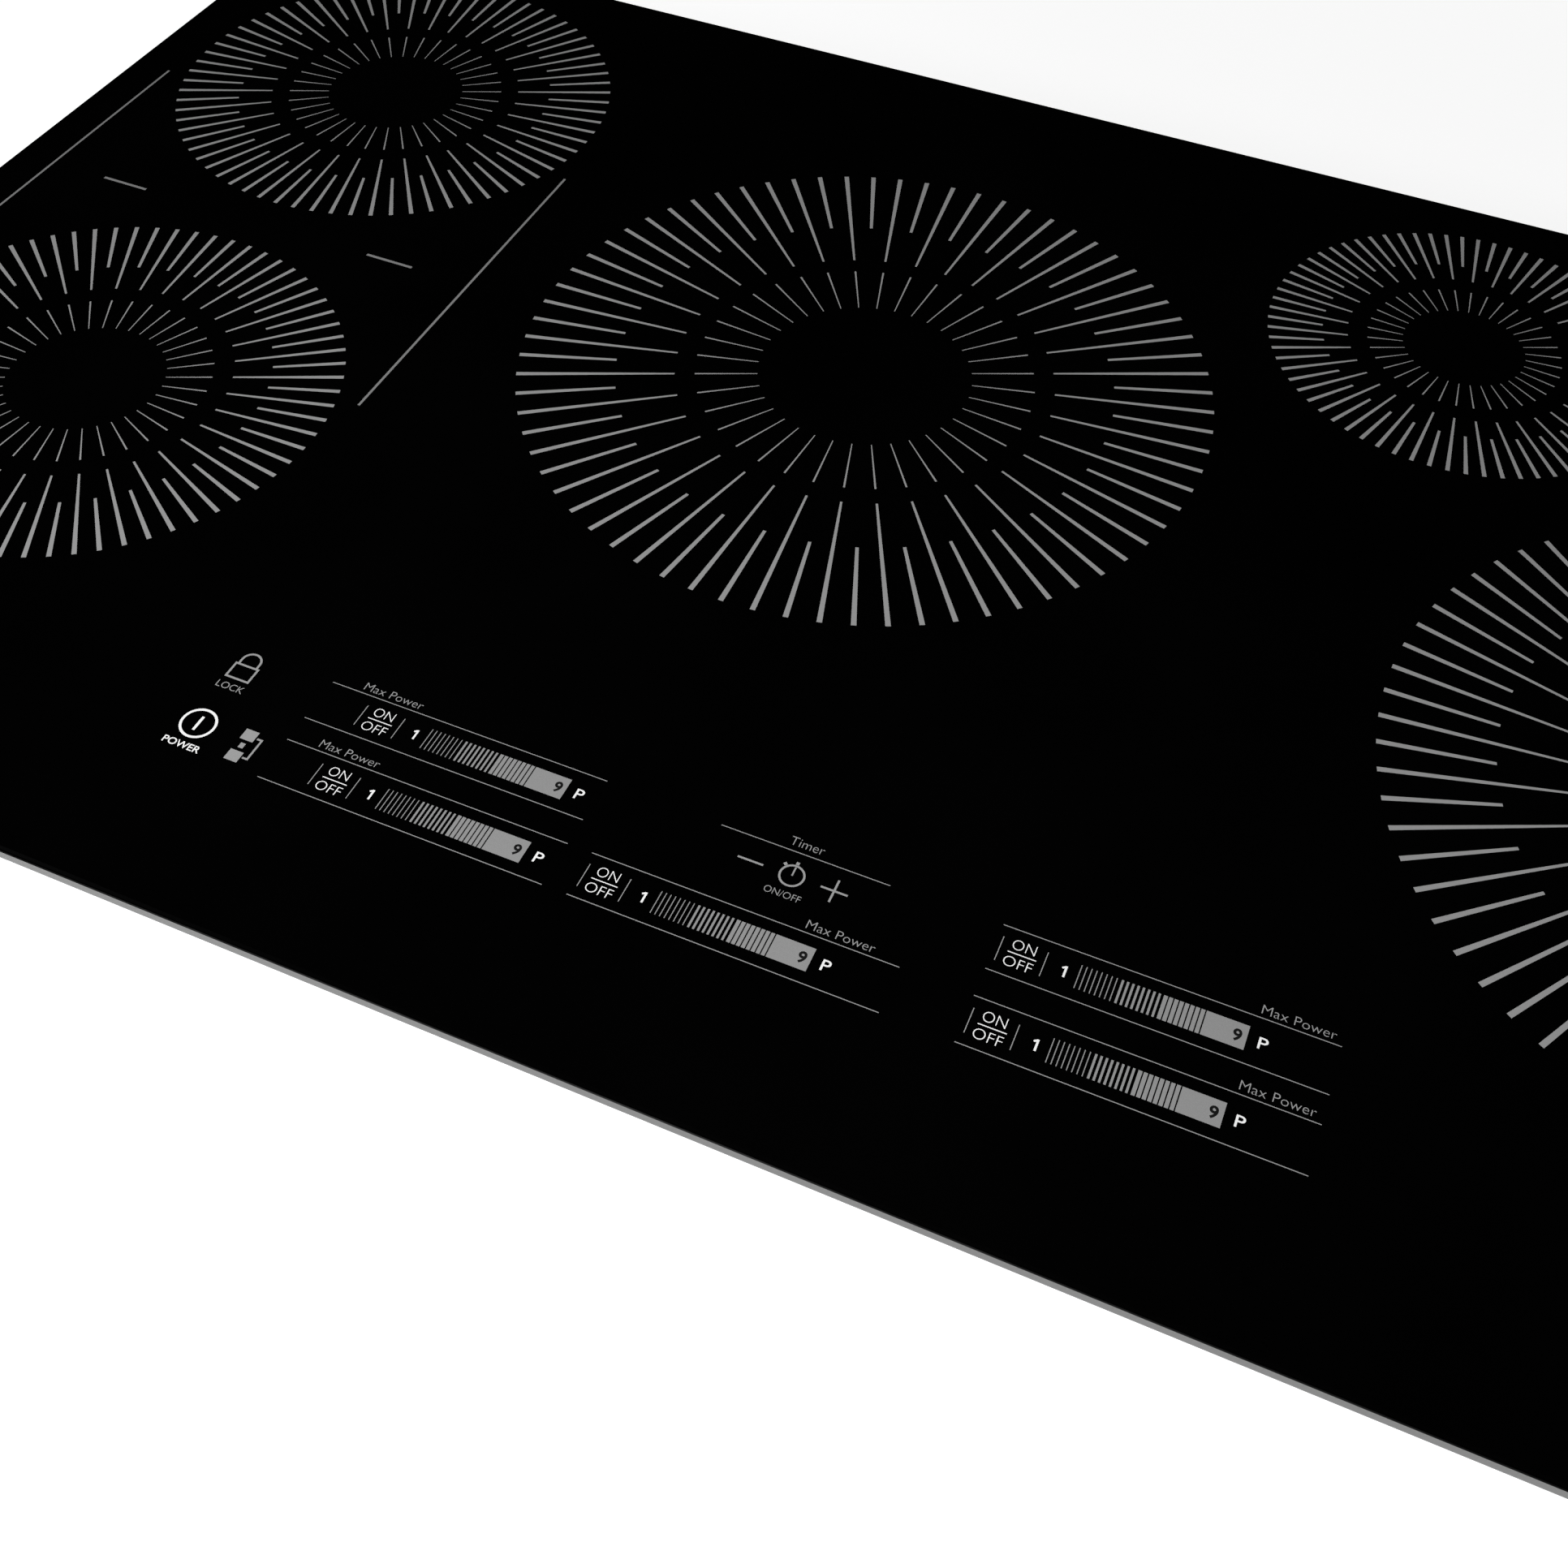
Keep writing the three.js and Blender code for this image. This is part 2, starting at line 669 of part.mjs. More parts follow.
// ---------- assembly ----------

addGlass();
const trimBottom = addEdgeTrim();
addGaskets(trimBottom);
addAdhesive();
addFrameRails();
addBottomPan();
addInlet();
addTerminalBlock();
addClamps();
addCoilPlates();
addCoils();
addBoards();
addHeatsinks();
addBlowers();
addControls();

export default cooktop;
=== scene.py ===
"""Looks of a drop-in induction cooktop with five zones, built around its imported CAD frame.

Everything is in metres in the frame's axes: +X to the user's right, +Y to the back and +Z up.
Sizes of the printed graphics and small fittings are written in millimetres and scaled by MM.
"""

import json
import math
import random
from collections import namedtuple

import bmesh
import bpy
from mathutils import Matrix, Vector
from mathutils.geometry import interpolate_bezier


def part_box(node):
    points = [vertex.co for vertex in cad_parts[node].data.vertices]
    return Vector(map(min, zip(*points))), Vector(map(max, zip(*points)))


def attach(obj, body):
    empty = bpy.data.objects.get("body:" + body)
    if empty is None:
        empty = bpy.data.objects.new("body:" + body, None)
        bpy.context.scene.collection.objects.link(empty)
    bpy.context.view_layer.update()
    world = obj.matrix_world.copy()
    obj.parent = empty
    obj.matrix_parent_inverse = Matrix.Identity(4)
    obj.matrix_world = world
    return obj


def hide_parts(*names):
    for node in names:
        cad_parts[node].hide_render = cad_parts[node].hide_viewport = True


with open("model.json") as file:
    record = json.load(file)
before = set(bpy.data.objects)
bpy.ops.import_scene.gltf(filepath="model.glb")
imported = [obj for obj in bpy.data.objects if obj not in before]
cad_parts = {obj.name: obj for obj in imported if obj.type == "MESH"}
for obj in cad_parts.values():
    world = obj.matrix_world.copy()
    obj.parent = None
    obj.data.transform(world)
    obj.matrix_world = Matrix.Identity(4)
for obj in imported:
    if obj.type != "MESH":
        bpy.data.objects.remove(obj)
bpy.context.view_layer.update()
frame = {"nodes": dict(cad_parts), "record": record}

MM = 0.001
TURN = 2 * math.pi
random.seed(36)

GLASS_LOW, GLASS_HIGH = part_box("glass_top")
GLASS_TOP = GLASS_HIGH.z
GLASS_FRONT = GLASS_LOW.y
PAN_LOW, PAN_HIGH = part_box("bottom_pan")


def add_object(name, data):
    """A new object in the scene."""
    made = bpy.data.objects.new(name, data)
    bpy.context.scene.collection.objects.link(made)
    return made


# ---------- camera ----------

CAMERA_HEADING = math.radians(21.573)
CAMERA_PITCH = math.radians(51.707)
CAMERA_ROLL = math.radians(2.191)
CAMERA_RIGHT_OF_MIDDLE = 119.5 * MM
CAMERA_BEFORE_GLASS = 198.15 * MM
CAMERA_ABOVE_GLASS = 438 * MM
CAMERA_LENS = 39.62
CAMERA_SENSOR = 36


def make_camera():
    """The photograph's view: from the front right, looking down and to the left, slightly rolled."""
    data = bpy.data.cameras.new("camera")
    data.lens = CAMERA_LENS
    data.sensor_width = CAMERA_SENSOR
    data.clip_start = 0.01
    camera = add_object("camera", data)
    front, height = GLASS_FRONT - CAMERA_BEFORE_GLASS, GLASS_TOP + CAMERA_ABOVE_GLASS
    place = Matrix.Translation((CAMERA_RIGHT_OF_MIDDLE, front, height))
    turn = Matrix.Rotation(CAMERA_HEADING, 4, "Z")
    tilt = Matrix.Rotation(TURN / 4 - CAMERA_PITCH, 4, "X")
    roll = Matrix.Rotation(CAMERA_ROLL, 4, "Z")
    camera.matrix_world = place @ turn @ tilt @ roll
    bpy.context.scene.camera = camera


# ---------- material helpers ----------

# The colour sockets of a Mix node, whose names are shared by its other kinds of socket.
MIX_FIRST, MIX_SECOND, MIX_RESULT = 6, 7, 2


class Nodes:
    """Short names for making and linking the nodes of one material."""

    def __init__(self, name):
        self.material = bpy.data.materials.new(name)
        self.material.use_nodes = True
        self.tree = self.material.node_tree
        self.shader = self.tree.nodes["Principled BSDF"]
        coordinates = self.tree.nodes.new("ShaderNodeTexCoord")
        self.place = coordinates.outputs["Object"]

    def node(self, kind, inputs=(), **settings):
        """A node with its settings and the values of its unlinked inputs."""
        made = self.tree.nodes.new("ShaderNode" + kind)
        for key, value in settings.items():
            setattr(made, key, value)
        for key, value in dict(inputs).items():
            made.inputs[key].default_value = value
        return made

    def link(self, output, target):
        self.tree.links.new(output, target)

    def texture(self, kind, inputs, place=None):
        """The outputs of a node that reads the object's coordinates, or a place made from them."""
        made = self.node(kind, inputs)
        self.link(place or self.place, made.inputs["Vector"])
        return made.outputs

    def noise(self, scale, detail, roughness=0.55, place=None):
        inputs = {"Scale": scale, "Detail": detail, "Roughness": roughness}
        return self.texture("TexNoise", inputs, place)["Fac"]

    def grain(self, scale, detail, roughness):
        """Noise scaled unequally, for grain that runs one way."""
        stretched = self.texture("Mapping", {"Scale": scale})["Vector"]
        return self.noise(1, detail, roughness, stretched)

    def cells(self, scale, output="Color", place=None):
        return self.texture("TexVoronoi", {"Scale": scale}, place)[output]

    def ramp(self, value, first, last, start=0.3, end=0.7):
        """A colour that runs from a first to a last as the value goes from start to end."""
        made = self.node("ValToRGB")
        low, high = made.color_ramp.elements
        low.position, low.color = start, (*first, 1)
        high.position, high.color = end, (*last, 1)
        self.link(value, made.inputs["Fac"])
        return made.outputs["Color"]

    def span(self, value, low, high, start=0.25, end=0.75):
        """A value spread from one range over another."""
        limits = {"From Min": start, "From Max": end, "To Min": low, "To Max": high}
        made = self.node("MapRange", limits)
        self.link(value, made.inputs["Value"])
        return made.outputs["Result"]

    def mix(self, first, second, share, blend="MIX"):
        """A share of a second colour blended into a first."""
        made = self.node("Mix", {"Factor": share}, data_type="RGBA", blend_type=blend)
        self.link(first, made.inputs[MIX_FIRST])
        self.link(second, made.inputs[MIX_SECOND])
        return made.outputs[MIX_RESULT]

    def colour(self, output):
        self.link(output, self.shader.inputs["Base Color"])

    def gloss(self, value, low, high):
        self.link(self.span(value, low, high), self.shader.inputs["Roughness"])

    def bump(self, height, distance, strength):
        made = self.node("Bump", {"Distance": distance, "Strength": strength})
        self.link(height, made.inputs["Height"])
        self.link(made.outputs["Normal"], self.shader.inputs["Normal"])

    def coat(self, value, colours, gloss, bump, stretch=(0.3, 0.7)):
        """Colour, gloss and relief that all follow one value."""
        self.colour(self.ramp(value, *colours, *stretch))
        self.gloss(value, *gloss)
        self.bump(value, *bump)

    def finish(self, **values):
        """Sets the shader's plain inputs and gives the material."""
        for key, value in values.items():
            self.shader.inputs[key.replace("_", " ")].default_value = value
        return self.material


def grey(value):
    return (value, value, value)


def tint(colour, amount):
    return tuple(min(1.0, channel * amount) for channel in colour)


# ---------- materials ----------


def glass_ceramic():
    m = Nodes("black_glass_ceramic")
    haze = m.noise(9, 5)
    m.colour(m.ramp(haze, grey(0.0004), grey(0.0009)))
    m.gloss(m.noise(35, 6), 0.035, 0.075)
    m.bump(m.noise(14, 2), 0.00002, 0.4)
    return m.finish(IOR=1.52)


def ceramic_ink(name, level, spread=0.1):
    """Fired enamel: a dense, slightly speckled matt coat."""
    m = Nodes(name)
    speckle = m.noise(5200, 2, 0.7)
    low, high = level * (1 - spread), level * (1 + spread)
    m.colour(m.ramp(speckle, grey(low), grey(min(high, 1))))
    m.gloss(m.noise(900, 3), 0.5, 0.65)
    m.bump(speckle, 0.00001, 0.5)
    return m.finish(Specular_IOR_Level=0.25)


def brushed_steel():
    m = Nodes("brushed_stainless_trim")
    grain = m.grain((18, 18, 5200), 4, 0.7)
    colours = grey(0.11), (0.155, 0.155, 0.153)
    m.coat(grain, colours, (0.26, 0.42), (0.00002, 0.5), (0.25, 0.75))
    return m.finish(Metallic=1.0)


def foam_tape():
    m = Nodes("closed_cell_foam")
    cell = m.cells(1700, output="Distance")
    m.colour(m.ramp(cell, grey(0.012), grey(0.04), 0.0, 0.6))
    m.gloss(m.noise(300, 3), 0.8, 0.98)
    m.bump(cell, 0.0002, 0.8)
    return m.finish()


def silicone_bead():
    m = Nodes("silicone_bead")
    wave = m.noise(120, 3)
    m.colour(m.ramp(wave, grey(0.018), grey(0.03)))
    m.gloss(m.noise(60, 4), 0.28, 0.5)
    m.bump(wave, 0.0003, 0.6)
    return m.finish()


def galvanised_steel():
    """Hot-dip zinc on sheet steel: crystals of slightly different grey, each with its own sheen."""
    m = Nodes("galvanised_steel")
    ripple = m.texture("TexNoise", {"Scale": 60})["Color"]
    bent = m.mix(m.place, ripple, 0.003, "ADD")
    crystal = m.cells(70, place=bent)
    small = m.cells(210, place=bent)
    fine = m.noise(420, 4)
    shade = m.ramp(crystal, (0.345, 0.36, 0.375), (0.495, 0.51, 0.52), 0.28, 0.72)
    facets = m.ramp(small, grey(0.38), grey(0.48), 0.28, 0.72)
    mottle = m.ramp(fine, grey(0.34), grey(0.54))
    m.colour(m.mix(m.mix(shade, facets, 0.35), mottle, 0.12))
    m.gloss(crystal, 0.36, 0.56)
    m.bump(fine, 0.00006, 0.35)
    return m.finish(Metallic=0.9)


def zinc_plate():
    m = Nodes("zinc_plate")
    patch = m.noise(90, 5)
    m.colour(m.ramp(patch, (0.50, 0.51, 0.53), (0.64, 0.63, 0.58)))
    m.gloss(m.noise(700, 4), 0.28, 0.5)
    m.bump(m.noise(1500, 3), 0.00004, 0.4)
    return m.finish(Metallic=1.0)


def mill_aluminium():
    m = Nodes("mill_aluminium")
    grain = m.grain((900, 25, 900), 4, 0.65)
    m.coat(grain, ((0.60, 0.61, 0.63), (0.76, 0.77, 0.78)), (0.28, 0.48), (0.00004, 0.4))
    return m.finish(Metallic=1.0)


def moulded_plastic(name, colour, grain_height=0.00006):
    m = Nodes(name)
    fine = m.noise(2600, 3)
    tone = m.noise(30, 3)
    m.colour(m.ramp(tone, tint(colour, 0.86), tint(colour, 1.12)))
    m.gloss(fine, 0.42, 0.62)
    m.bump(fine, grain_height, 0.5)
    return m.finish()


def litz_copper():
    """Bundled enamelled strands, which show as fine slanting lines along the wire."""
    m = Nodes("litz_copper")
    strand = m.grain((2600, 700, 1400), 3, 0.7)
    colours = (0.30, 0.09, 0.03), (0.78, 0.36, 0.17)
    m.coat(strand, colours, (0.25, 0.45), (0.0002, 0.8), (0.28, 0.72))
    return m.finish(Metallic=0.85)


def pressed_mica():
    m = Nodes("pressed_mica")
    flake = m.cells(240)
    m.colour(m.ramp(flake, (0.33, 0.27, 0.17), (0.62, 0.55, 0.42), 0.1, 0.9))
    m.gloss(flake, 0.25, 0.6)
    m.bump(m.noise(500, 4), 0.00005, 0.5)
    return m.finish()


def circuit_board():
    """Green solder mask over copper tracks, which show through as slightly lighter runs."""
    m = Nodes("circuit_board")
    masks = {"Color1": (0.012, 0.10, 0.035, 1), "Color2": (0.016, 0.125, 0.045, 1)}
    tracks = {"Mortar": (0.03, 0.20, 0.075, 1), "Mortar Size": 0.12, "Scale": 90}
    run = m.texture("TexBrick", {**masks, **tracks})
    m.colour(run["Color"])
    m.gloss(m.noise(400, 3), 0.22, 0.36)
    m.bump(run["Fac"], 0.00005, 0.5)
    return m.finish()


def sintered_ferrite():
    m = Nodes("sintered_ferrite")
    colours = (0.018, 0.018, 0.02), (0.05, 0.05, 0.055)
    m.coat(m.noise(1900, 4), colours, (0.5, 0.75), (0.0001, 0.6))
    return m.finish()


def tinned_metal():
    m = Nodes("tinned_metal")
    m.coat(m.noise(1100, 4), (grey(0.55), grey(0.75)), (0.2, 0.4), (0.00003, 0.4))
    return m.finish(Metallic=1.0)


def wire_sleeve(name, colour):
    m = Nodes(name)
    rib = m.grain((300, 300, 900), 3, 0.6)
    m.coat(rib, (tint(colour, 0.8), tint(colour, 1.1)), (0.4, 0.6), (0.0001, 0.5))
    return m.finish()


INK_GREY = ceramic_ink("grey_enamel", 0.33)
INK_SCALE = ceramic_ink("scale_enamel", 0.292)
INK_SOFT = ceramic_ink("soft_grey_enamel", 0.25)
INK_WHITE = ceramic_ink("white_enamel", 0.93, 0.04)
INK_BLACK = ceramic_ink("black_enamel", 0.004)
FOAM = foam_tape()
ZINC = zinc_plate()
ALUMINIUM = mill_aluminium()
# Black nylon for the moulded parts; the same material also paints the shade of the screw heads'
# recesses.
BLACK_NYLON_AND_RECESS_SHADE = moulded_plastic("black_nylon_and_recess_shade", (0.016, 0.016, 0.018))
WHITE_NYLON = moulded_plastic("white_nylon", (0.62, 0.59, 0.51))
COPPER = litz_copper()
FERRITE = sintered_ferrite()
TINNED = tinned_metal()
YELLOW_FILM = moulded_plastic("yellow_film_case", (0.62, 0.38, 0.05), 0.00003)
GREY_FILM = moulded_plastic("grey_film_case", (0.2, 0.21, 0.22), 0.00003)
WHITE_SLEEVE = wire_sleeve("white_glass_sleeve", (0.6, 0.58, 0.52))
BLACK_SLEEVE = wire_sleeve("black_sleeve", (0.02, 0.02, 0.022))
RED_SLEEVE = wire_sleeve("red_sleeve", (0.42, 0.03, 0.02))

SLOT_MATERIALS = {
    "glass": glass_ceramic(),
    "stainless": brushed_steel(),
    "foam": FOAM,
    "silicone": silicone_bead(),
    "galvanised": galvanised_steel(),
    "aluminium": ALUMINIUM,
    "zinc": ZINC,
    "nylon_black": BLACK_NYLON_AND_RECESS_SHADE,
    "nylon_white": WHITE_NYLON,
    "copper": COPPER,
    "mica": pressed_mica(),
    "board": circuit_board(),
}


def paint_frame():
    """Gives each CAD node the procedural material of its slot."""
    for part in frame["record"]["subparts"]:
        mesh = frame["nodes"][part["node"]].data
        mesh.materials.clear()
        mesh.materials.append(SLOT_MATERIALS[part["material_slot"]])


# ---------- mesh helpers ----------

SHARP_ANGLE = math.radians(35)


def in_mm(pairs):
    """Pairs of millimetres as pairs of metres."""
    return [(a * MM, b * MM) for a, b in pairs]


def corners(x0, y0, x1, y1):
    """The corners of a rectangle, in order round it."""
    return [(x0, y0), (x1, y0), (x1, y1), (x0, y1)]


def circle(steps):
    """The cosine and sine of evenly spaced angles round a circle."""
    return [(math.cos(TURN * i / steps), math.sin(TURN * i / steps)) for i in range(steps)]


def piece(name, bm, materials, body="root", smooth=True):
    """Turns a bmesh into a piece that rides on a body."""
    bmesh.ops.recalc_face_normals(bm, faces=bm.faces)
    mesh = bpy.data.meshes.new(name)
    bm.to_mesh(mesh)
    bm.free()
    for material in materials:
        mesh.materials.append(material)
    made = add_object(name, mesh)
    if smooth:
        mesh.shade_smooth()
        mesh.set_sharp_from_angle(angle=SHARP_ANGLE)
    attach(made, body)
    return made


def join_rings(bm, first, second, index=0):
    """A band of faces between two closed rings of vertices."""
    count = len(first)
    for i in range(count):
        j = (i + 1) % count
        bm.faces.new((first[i], first[j], second[j], second[i])).material_index = index


def add_stack(bm, rings, index=0):
    """A solid over a stack of rings of vertices, capped at both ends."""
    for first, second in zip(rings, rings[1:]):
        join_rings(bm, first, second, index)
    bm.faces.new(rings[0][::-1]).material_index = index
    bm.faces.new(rings[-1]).material_index = index


def add_prism(bm, outline, low, high, index=0):
    """A closed prism over a flat outline of (x, y) points."""
    add_stack(bm, [[bm.verts.new((x, y, z)) for x, y in outline] for z in (low, high)], index)


def add_box(bm, low, high, index=0):
    add_prism(bm, corners(*low[:2], *high[:2]), low[2], high[2], index)


def add_chamfered_box(bm, low, high, chamfer, index=0):
    """A block whose top edges are broken by a chamfer."""
    rings = []
    for z, inset in ((low[2], 0), (high[2] - chamfer, 0), (high[2], chamfer)):
        outline = corners(low[0] + inset, low[1] + inset, high[0] - inset, high[1] - inset)
        rings.append([bm.verts.new((x, y, z)) for x, y in outline])
    add_stack(bm, rings, index)


def add_turned(bm, centre, profile, segments=24, index=0):
    """An upright body of revolution from (radius, height) pairs."""
    rings = []
    for radius, height in profile:
        steps = circle(segments if radius else 1)
        points = [Vector((radius * c, radius * s, height)) for c, s in steps]
        rings.append([bm.verts.new(point + Vector(centre)) for point in points])
    for low, high in zip(rings, rings[1:]):
        for i in range(segments):
            j = (i + 1) % segments
            ends = [low[i % len(low)], low[j % len(low)], high[j % len(high)], high[i % len(high)]]
            distinct = list(dict.fromkeys(ends))
            if len(distinct) > 2:
                bm.faces.new(distinct).material_index = index


def add_ring(bm, centre, inner, outer, bottom, top, segments=40):
    """An upright ring of rectangular section."""
    section = [(inner, bottom), (outer, bottom), (outer, top), (inner, top), (inner, bottom)]
    add_turned(bm, centre, section, segments)


def aim(bm, first, direction, place):
    """Turns what was added since vertex number `first` from +Z to a direction, and moves it."""
    bm.verts.ensure_lookup_table()
    added = bm.verts[first:]
    turn = Vector((0, 0, 1)).rotation_difference(Vector(direction)).to_matrix()
    bmesh.ops.rotate(bm, verts=added, cent=(0, 0, 0), matrix=turn)
    bmesh.ops.translate(bm, verts=added, vec=place)


def add_tube(bm, path, radius, sides=8, closed=False, index=0):
    """A round tube along a list of points, capped unless it closes on itself."""
    points = [Vector(p) for p in path]
    count = len(points)
    rings = []
    for i, point in enumerate(points):
        before = points[i - 1] if closed or i else point
        after = points[(i + 1) % count] if closed or i < count - 1 else point
        along = (after - before).normalized()
        side = along.cross(Vector((0, 0, 1)))
        if side.length < 0.05:
            side = along.cross(Vector((0, 1, 0)))
        side.normalize()
        over = side.cross(along)
        rings.append([bm.verts.new(point + radius * (c * side + s * over)) for c, s in circle(sides)])
    if not closed:
        add_stack(bm, rings, index)
        return
    for first, second in zip(rings, rings[1:] + rings[:1]):
        join_rings(bm, first, second, index)


# ---------- printed graphics ----------

INK_LOW = GLASS_TOP - 0.01 * MM
INK_HIGH = GLASS_TOP + 0.02 * MM


def on_glass(x, y):
    """A point of the print, given in millimetres from the middle of the glass's front edge."""
    return x * MM, GLASS_FRONT + y * MM


class Print:
    """One printed graphic, drawn in millimetres as strokes and filled outlines."""

    def __init__(self):
        self.bm = bmesh.new()

    def fill(self, outline):
        add_prism(self.bm, [on_glass(x, y) for x, y in outline], INK_LOW, INK_HIGH)

    def rectangle(self, x0, y0, x1, y1):
        self.fill(corners(x0, y0, x1, y1))

    def line(self, start, end, width, end_width=None):
        """A straight stroke with square ends, which may taper."""
        a, b = Vector(start), Vector(end)
        along = (b - a).normalized()
        side = Vector((-along.y, along.x))
        first = side * width / 2
        last = side * (width if end_width is None else end_width) / 2
        self.fill([a - first, b - last, b + last, a + first])

    def arc(self, centre, radius, width, start=0.0, end=360.0, steps=48):
        """Part of a ring, or a whole one."""
        whole = end - start >= 360
        angles = [math.radians(start + (end - start) * i / steps) for i in range(steps + 1)]
        rims = []
        for r in (radius - width / 2, radius + width / 2):
            for z in (INK_LOW, INK_HIGH):
                spots = [
                    on_glass(centre[0] + r * math.cos(a), centre[1] + r * math.sin(a))
                    for a in (angles[:-1] if whole else angles)
                ]
                rims.append([self.bm.verts.new((x, y, z)) for x, y in spots])
        inner_low, inner_high, outer_low, outer_high = rims
        loop = [inner_low, outer_low, outer_high, inner_high]
        count = len(inner_low)
        for i in range(count if whole else count - 1):
            j = (i + 1) % count
            for first, second in zip(loop, loop[1:] + loop[:1]):
                self.bm.faces.new((first[i], first[j], second[j], second[i]))
        if not whole:
            for i in (0, -1):
                self.bm.faces.new([rim[i] for rim in loop])

    def finish(self, name, ink):
        piece(name, self.bm, [ink], smooth=False)


ZONES = ["front_left", "rear_left", "centre", "rear_right", "front_right"]
RING_OUTSIDE_COIL = 10.2
DASH_STEP = 5
DASH_WIDTH_AT_RIM = 1.98  # on a print with a radius of 140 mm
DASH_WIDTH_GROWTH = 0.3  # how fast the width grows with the size of the print
DASH_TAPER = 1.4
SHORT_DASH_FROM = 0.718
INNER_RING = (0.31, 0.49)
INNER_TO_LONG_GAP = 8.0


def zone_centre(name):
    """Centre of a zone and radius of its print, in millimetres from the glass's front edge."""
    low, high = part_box(f"coil_former_{name}")
    middle = (low + high) / 2
    return middle.x / MM, (middle.y - GLASS_FRONT) / MM, (high.x - middle.x) / MM + RING_OUTSIDE_COIL


def print_zone(name):
    """Two rings of radial dashes that narrow towards the centre; every second outer dash is long."""
    x, y, radius = zone_centre(name)
    width_at_rim = DASH_WIDTH_AT_RIM * (radius / 140) ** DASH_WIDTH_GROWTH
    graphic = Print()

    def dash(angle, start, end):
        ray = Vector((math.cos(angle), math.sin(angle)))
        middle = Vector((x, y))
        widths = [width_at_rim * (at / radius) ** DASH_TAPER for at in (start, end)]
        graphic.line(middle + ray * start, middle + ray * end, *widths)

    for step in range(360 // DASH_STEP):
        angle = math.radians(step * DASH_STEP)
        if step % 2 == 0:
            dash(angle, SHORT_DASH_FROM * radius, radius)
            continue
        inner_end = INNER_RING[1] * radius
        dash(angle, inner_end + INNER_TO_LONG_GAP, radius)
        dash(angle, INNER_RING[0] * radius, inner_end)
    graphic.finish(f"print_zone_{name}", INK_GREY)


BRIDGE_LINE_OUT = 105.1
BRIDGE_LINE_HALF = 85.4
BRIDGE_LINE_WIDTH = 1.05
BRIDGE_DASH = (56, 77.8)
BRIDGE_DASH_WIDTH = 1.3


def print_bridge():
    """Marks that join the two left zones: side lines, and a dash each side between the rings."""
    x, front_y, _ = zone_centre("front_left")
    rear_y = zone_centre("rear_left")[1]
    middle = (front_y + rear_y) / 2
    graphic = Print()
    for side in (-1, 1):
        at = x + side * BRIDGE_LINE_OUT
        ends = [(at, middle + dy) for dy in (-BRIDGE_LINE_HALF, BRIDGE_LINE_HALF)]
        graphic.line(*ends, BRIDGE_LINE_WIDTH)
        ends = [(x + side * out, middle) for out in BRIDGE_DASH]
        graphic.line(*ends, BRIDGE_DASH_WIDTH)
    graphic.finish("print_bridge_marks", INK_SOFT)


# A slider panel's ends, where its content and its captions start, and how many rows it has.
Panel = namedtuple("Panel", "left right content caption rows")
PANELS = [
    Panel(-163.2, -60.1, -146.9, -152.3, 2),
    Panel(-51.5, 51.4, -50.0, 20.2, 1),
    Panel(75.0, 179.0, 76.5, 154.7, 2),
]
ROW_PITCH = 27.4
FIRST_ROW = 56.45
PANEL_HEIGHT = 17.1
HAIRLINE = 0.28
BUTTON_WIDTH = 14.15
BUTTON_LOW, BUTTON_HIGH = 3.95, 13.05
TIMER_LINE = ((-19.2, 100.15), (38.2, 100.15))


def panel_rows():
    """Each row of each panel, with the height of the row's bottom line."""
    for panel in PANELS:
        for row in range(panel.rows):
            yield panel, FIRST_ROW + row * ROW_PITCH


def print_panel_lines():
    graphic = Print()
    for panel, y in panel_rows():
        for line_y in (y, y + PANEL_HEIGHT):
            graphic.line((panel.left, line_y), (panel.right, line_y), HAIRLINE)
        for dx in (0, BUTTON_WIDTH):
            at = panel.content + dx
            graphic.line((at, y + BUTTON_LOW), (at, y + BUTTON_HIGH), HAIRLINE)
    graphic.line(*TIMER_LINE, HAIRLINE)
    graphic.finish("print_panel_lines", INK_GREY)


# The power scale: groups of bars, each group with its count, pitch and width, and a solid block.
SCALE_START = 24.7
SCALE_BARS = [(8, 1.57, 0.3), (8, 1.62, 0.72), (8, 1.63, 1.22)]
SCALE_END = 76.3
SCALE_LOW, SCALE_HIGH = 4.25, 12.9


def print_scales():
    graphic = Print()
    for panel, y in panel_rows():
        x = panel.content + SCALE_START
        for count, pitch, width in SCALE_BARS:
            for _ in range(count):
                graphic.rectangle(x, y + SCALE_LOW, x + width, y + SCALE_HIGH)
                x += pitch
        graphic.rectangle(x, y + SCALE_LOW, panel.content + SCALE_END, y + SCALE_HIGH)
    graphic.finish("print_power_scales", INK_SCALE)


class Lettering(Print):
    """Generic labels, each fitted into a box of its own and joined into one piece."""

    def write(self, words, x0, x1, y0, y1, weight, dx=0, dy=0, low=INK_LOW, high=INK_HIGH):
        """Words that fill the box from (x0, y0) to (x1, y1), moved by (dx, dy), in millimetres."""
        curve = bpy.data.curves.new("label", "FONT")
        curve.body = words
        curve.extrude = 0.5
        curve.offset = weight
        curve.resolution_u = 4
        holder = bpy.data.objects.new("label", curve)
        mesh = bpy.data.meshes.new_from_object(holder)
        xs = [v.co.x for v in mesh.vertices]
        ys = [v.co.y for v in mesh.vertices]
        width, height = max(xs) - min(xs), max(ys) - min(ys)
        for vertex in mesh.vertices:
            x = dx + x0 + (vertex.co.x - min(xs)) / width * (x1 - x0)
            y = dy + y0 + (vertex.co.y - min(ys)) / height * (y1 - y0)
            vertex.co = (*on_glass(x, y), high if vertex.co.z > 0 else low)
        self.bm.from_mesh(mesh)
        bpy.data.objects.remove(holder)
        bpy.data.curves.remove(curve)
        bpy.data.meshes.remove(mesh)

    def finish(self, name, ink):
        bmesh.ops.remove_doubles(self.bm, verts=self.bm.verts, dist=1e-7)
        super().finish(name, ink)


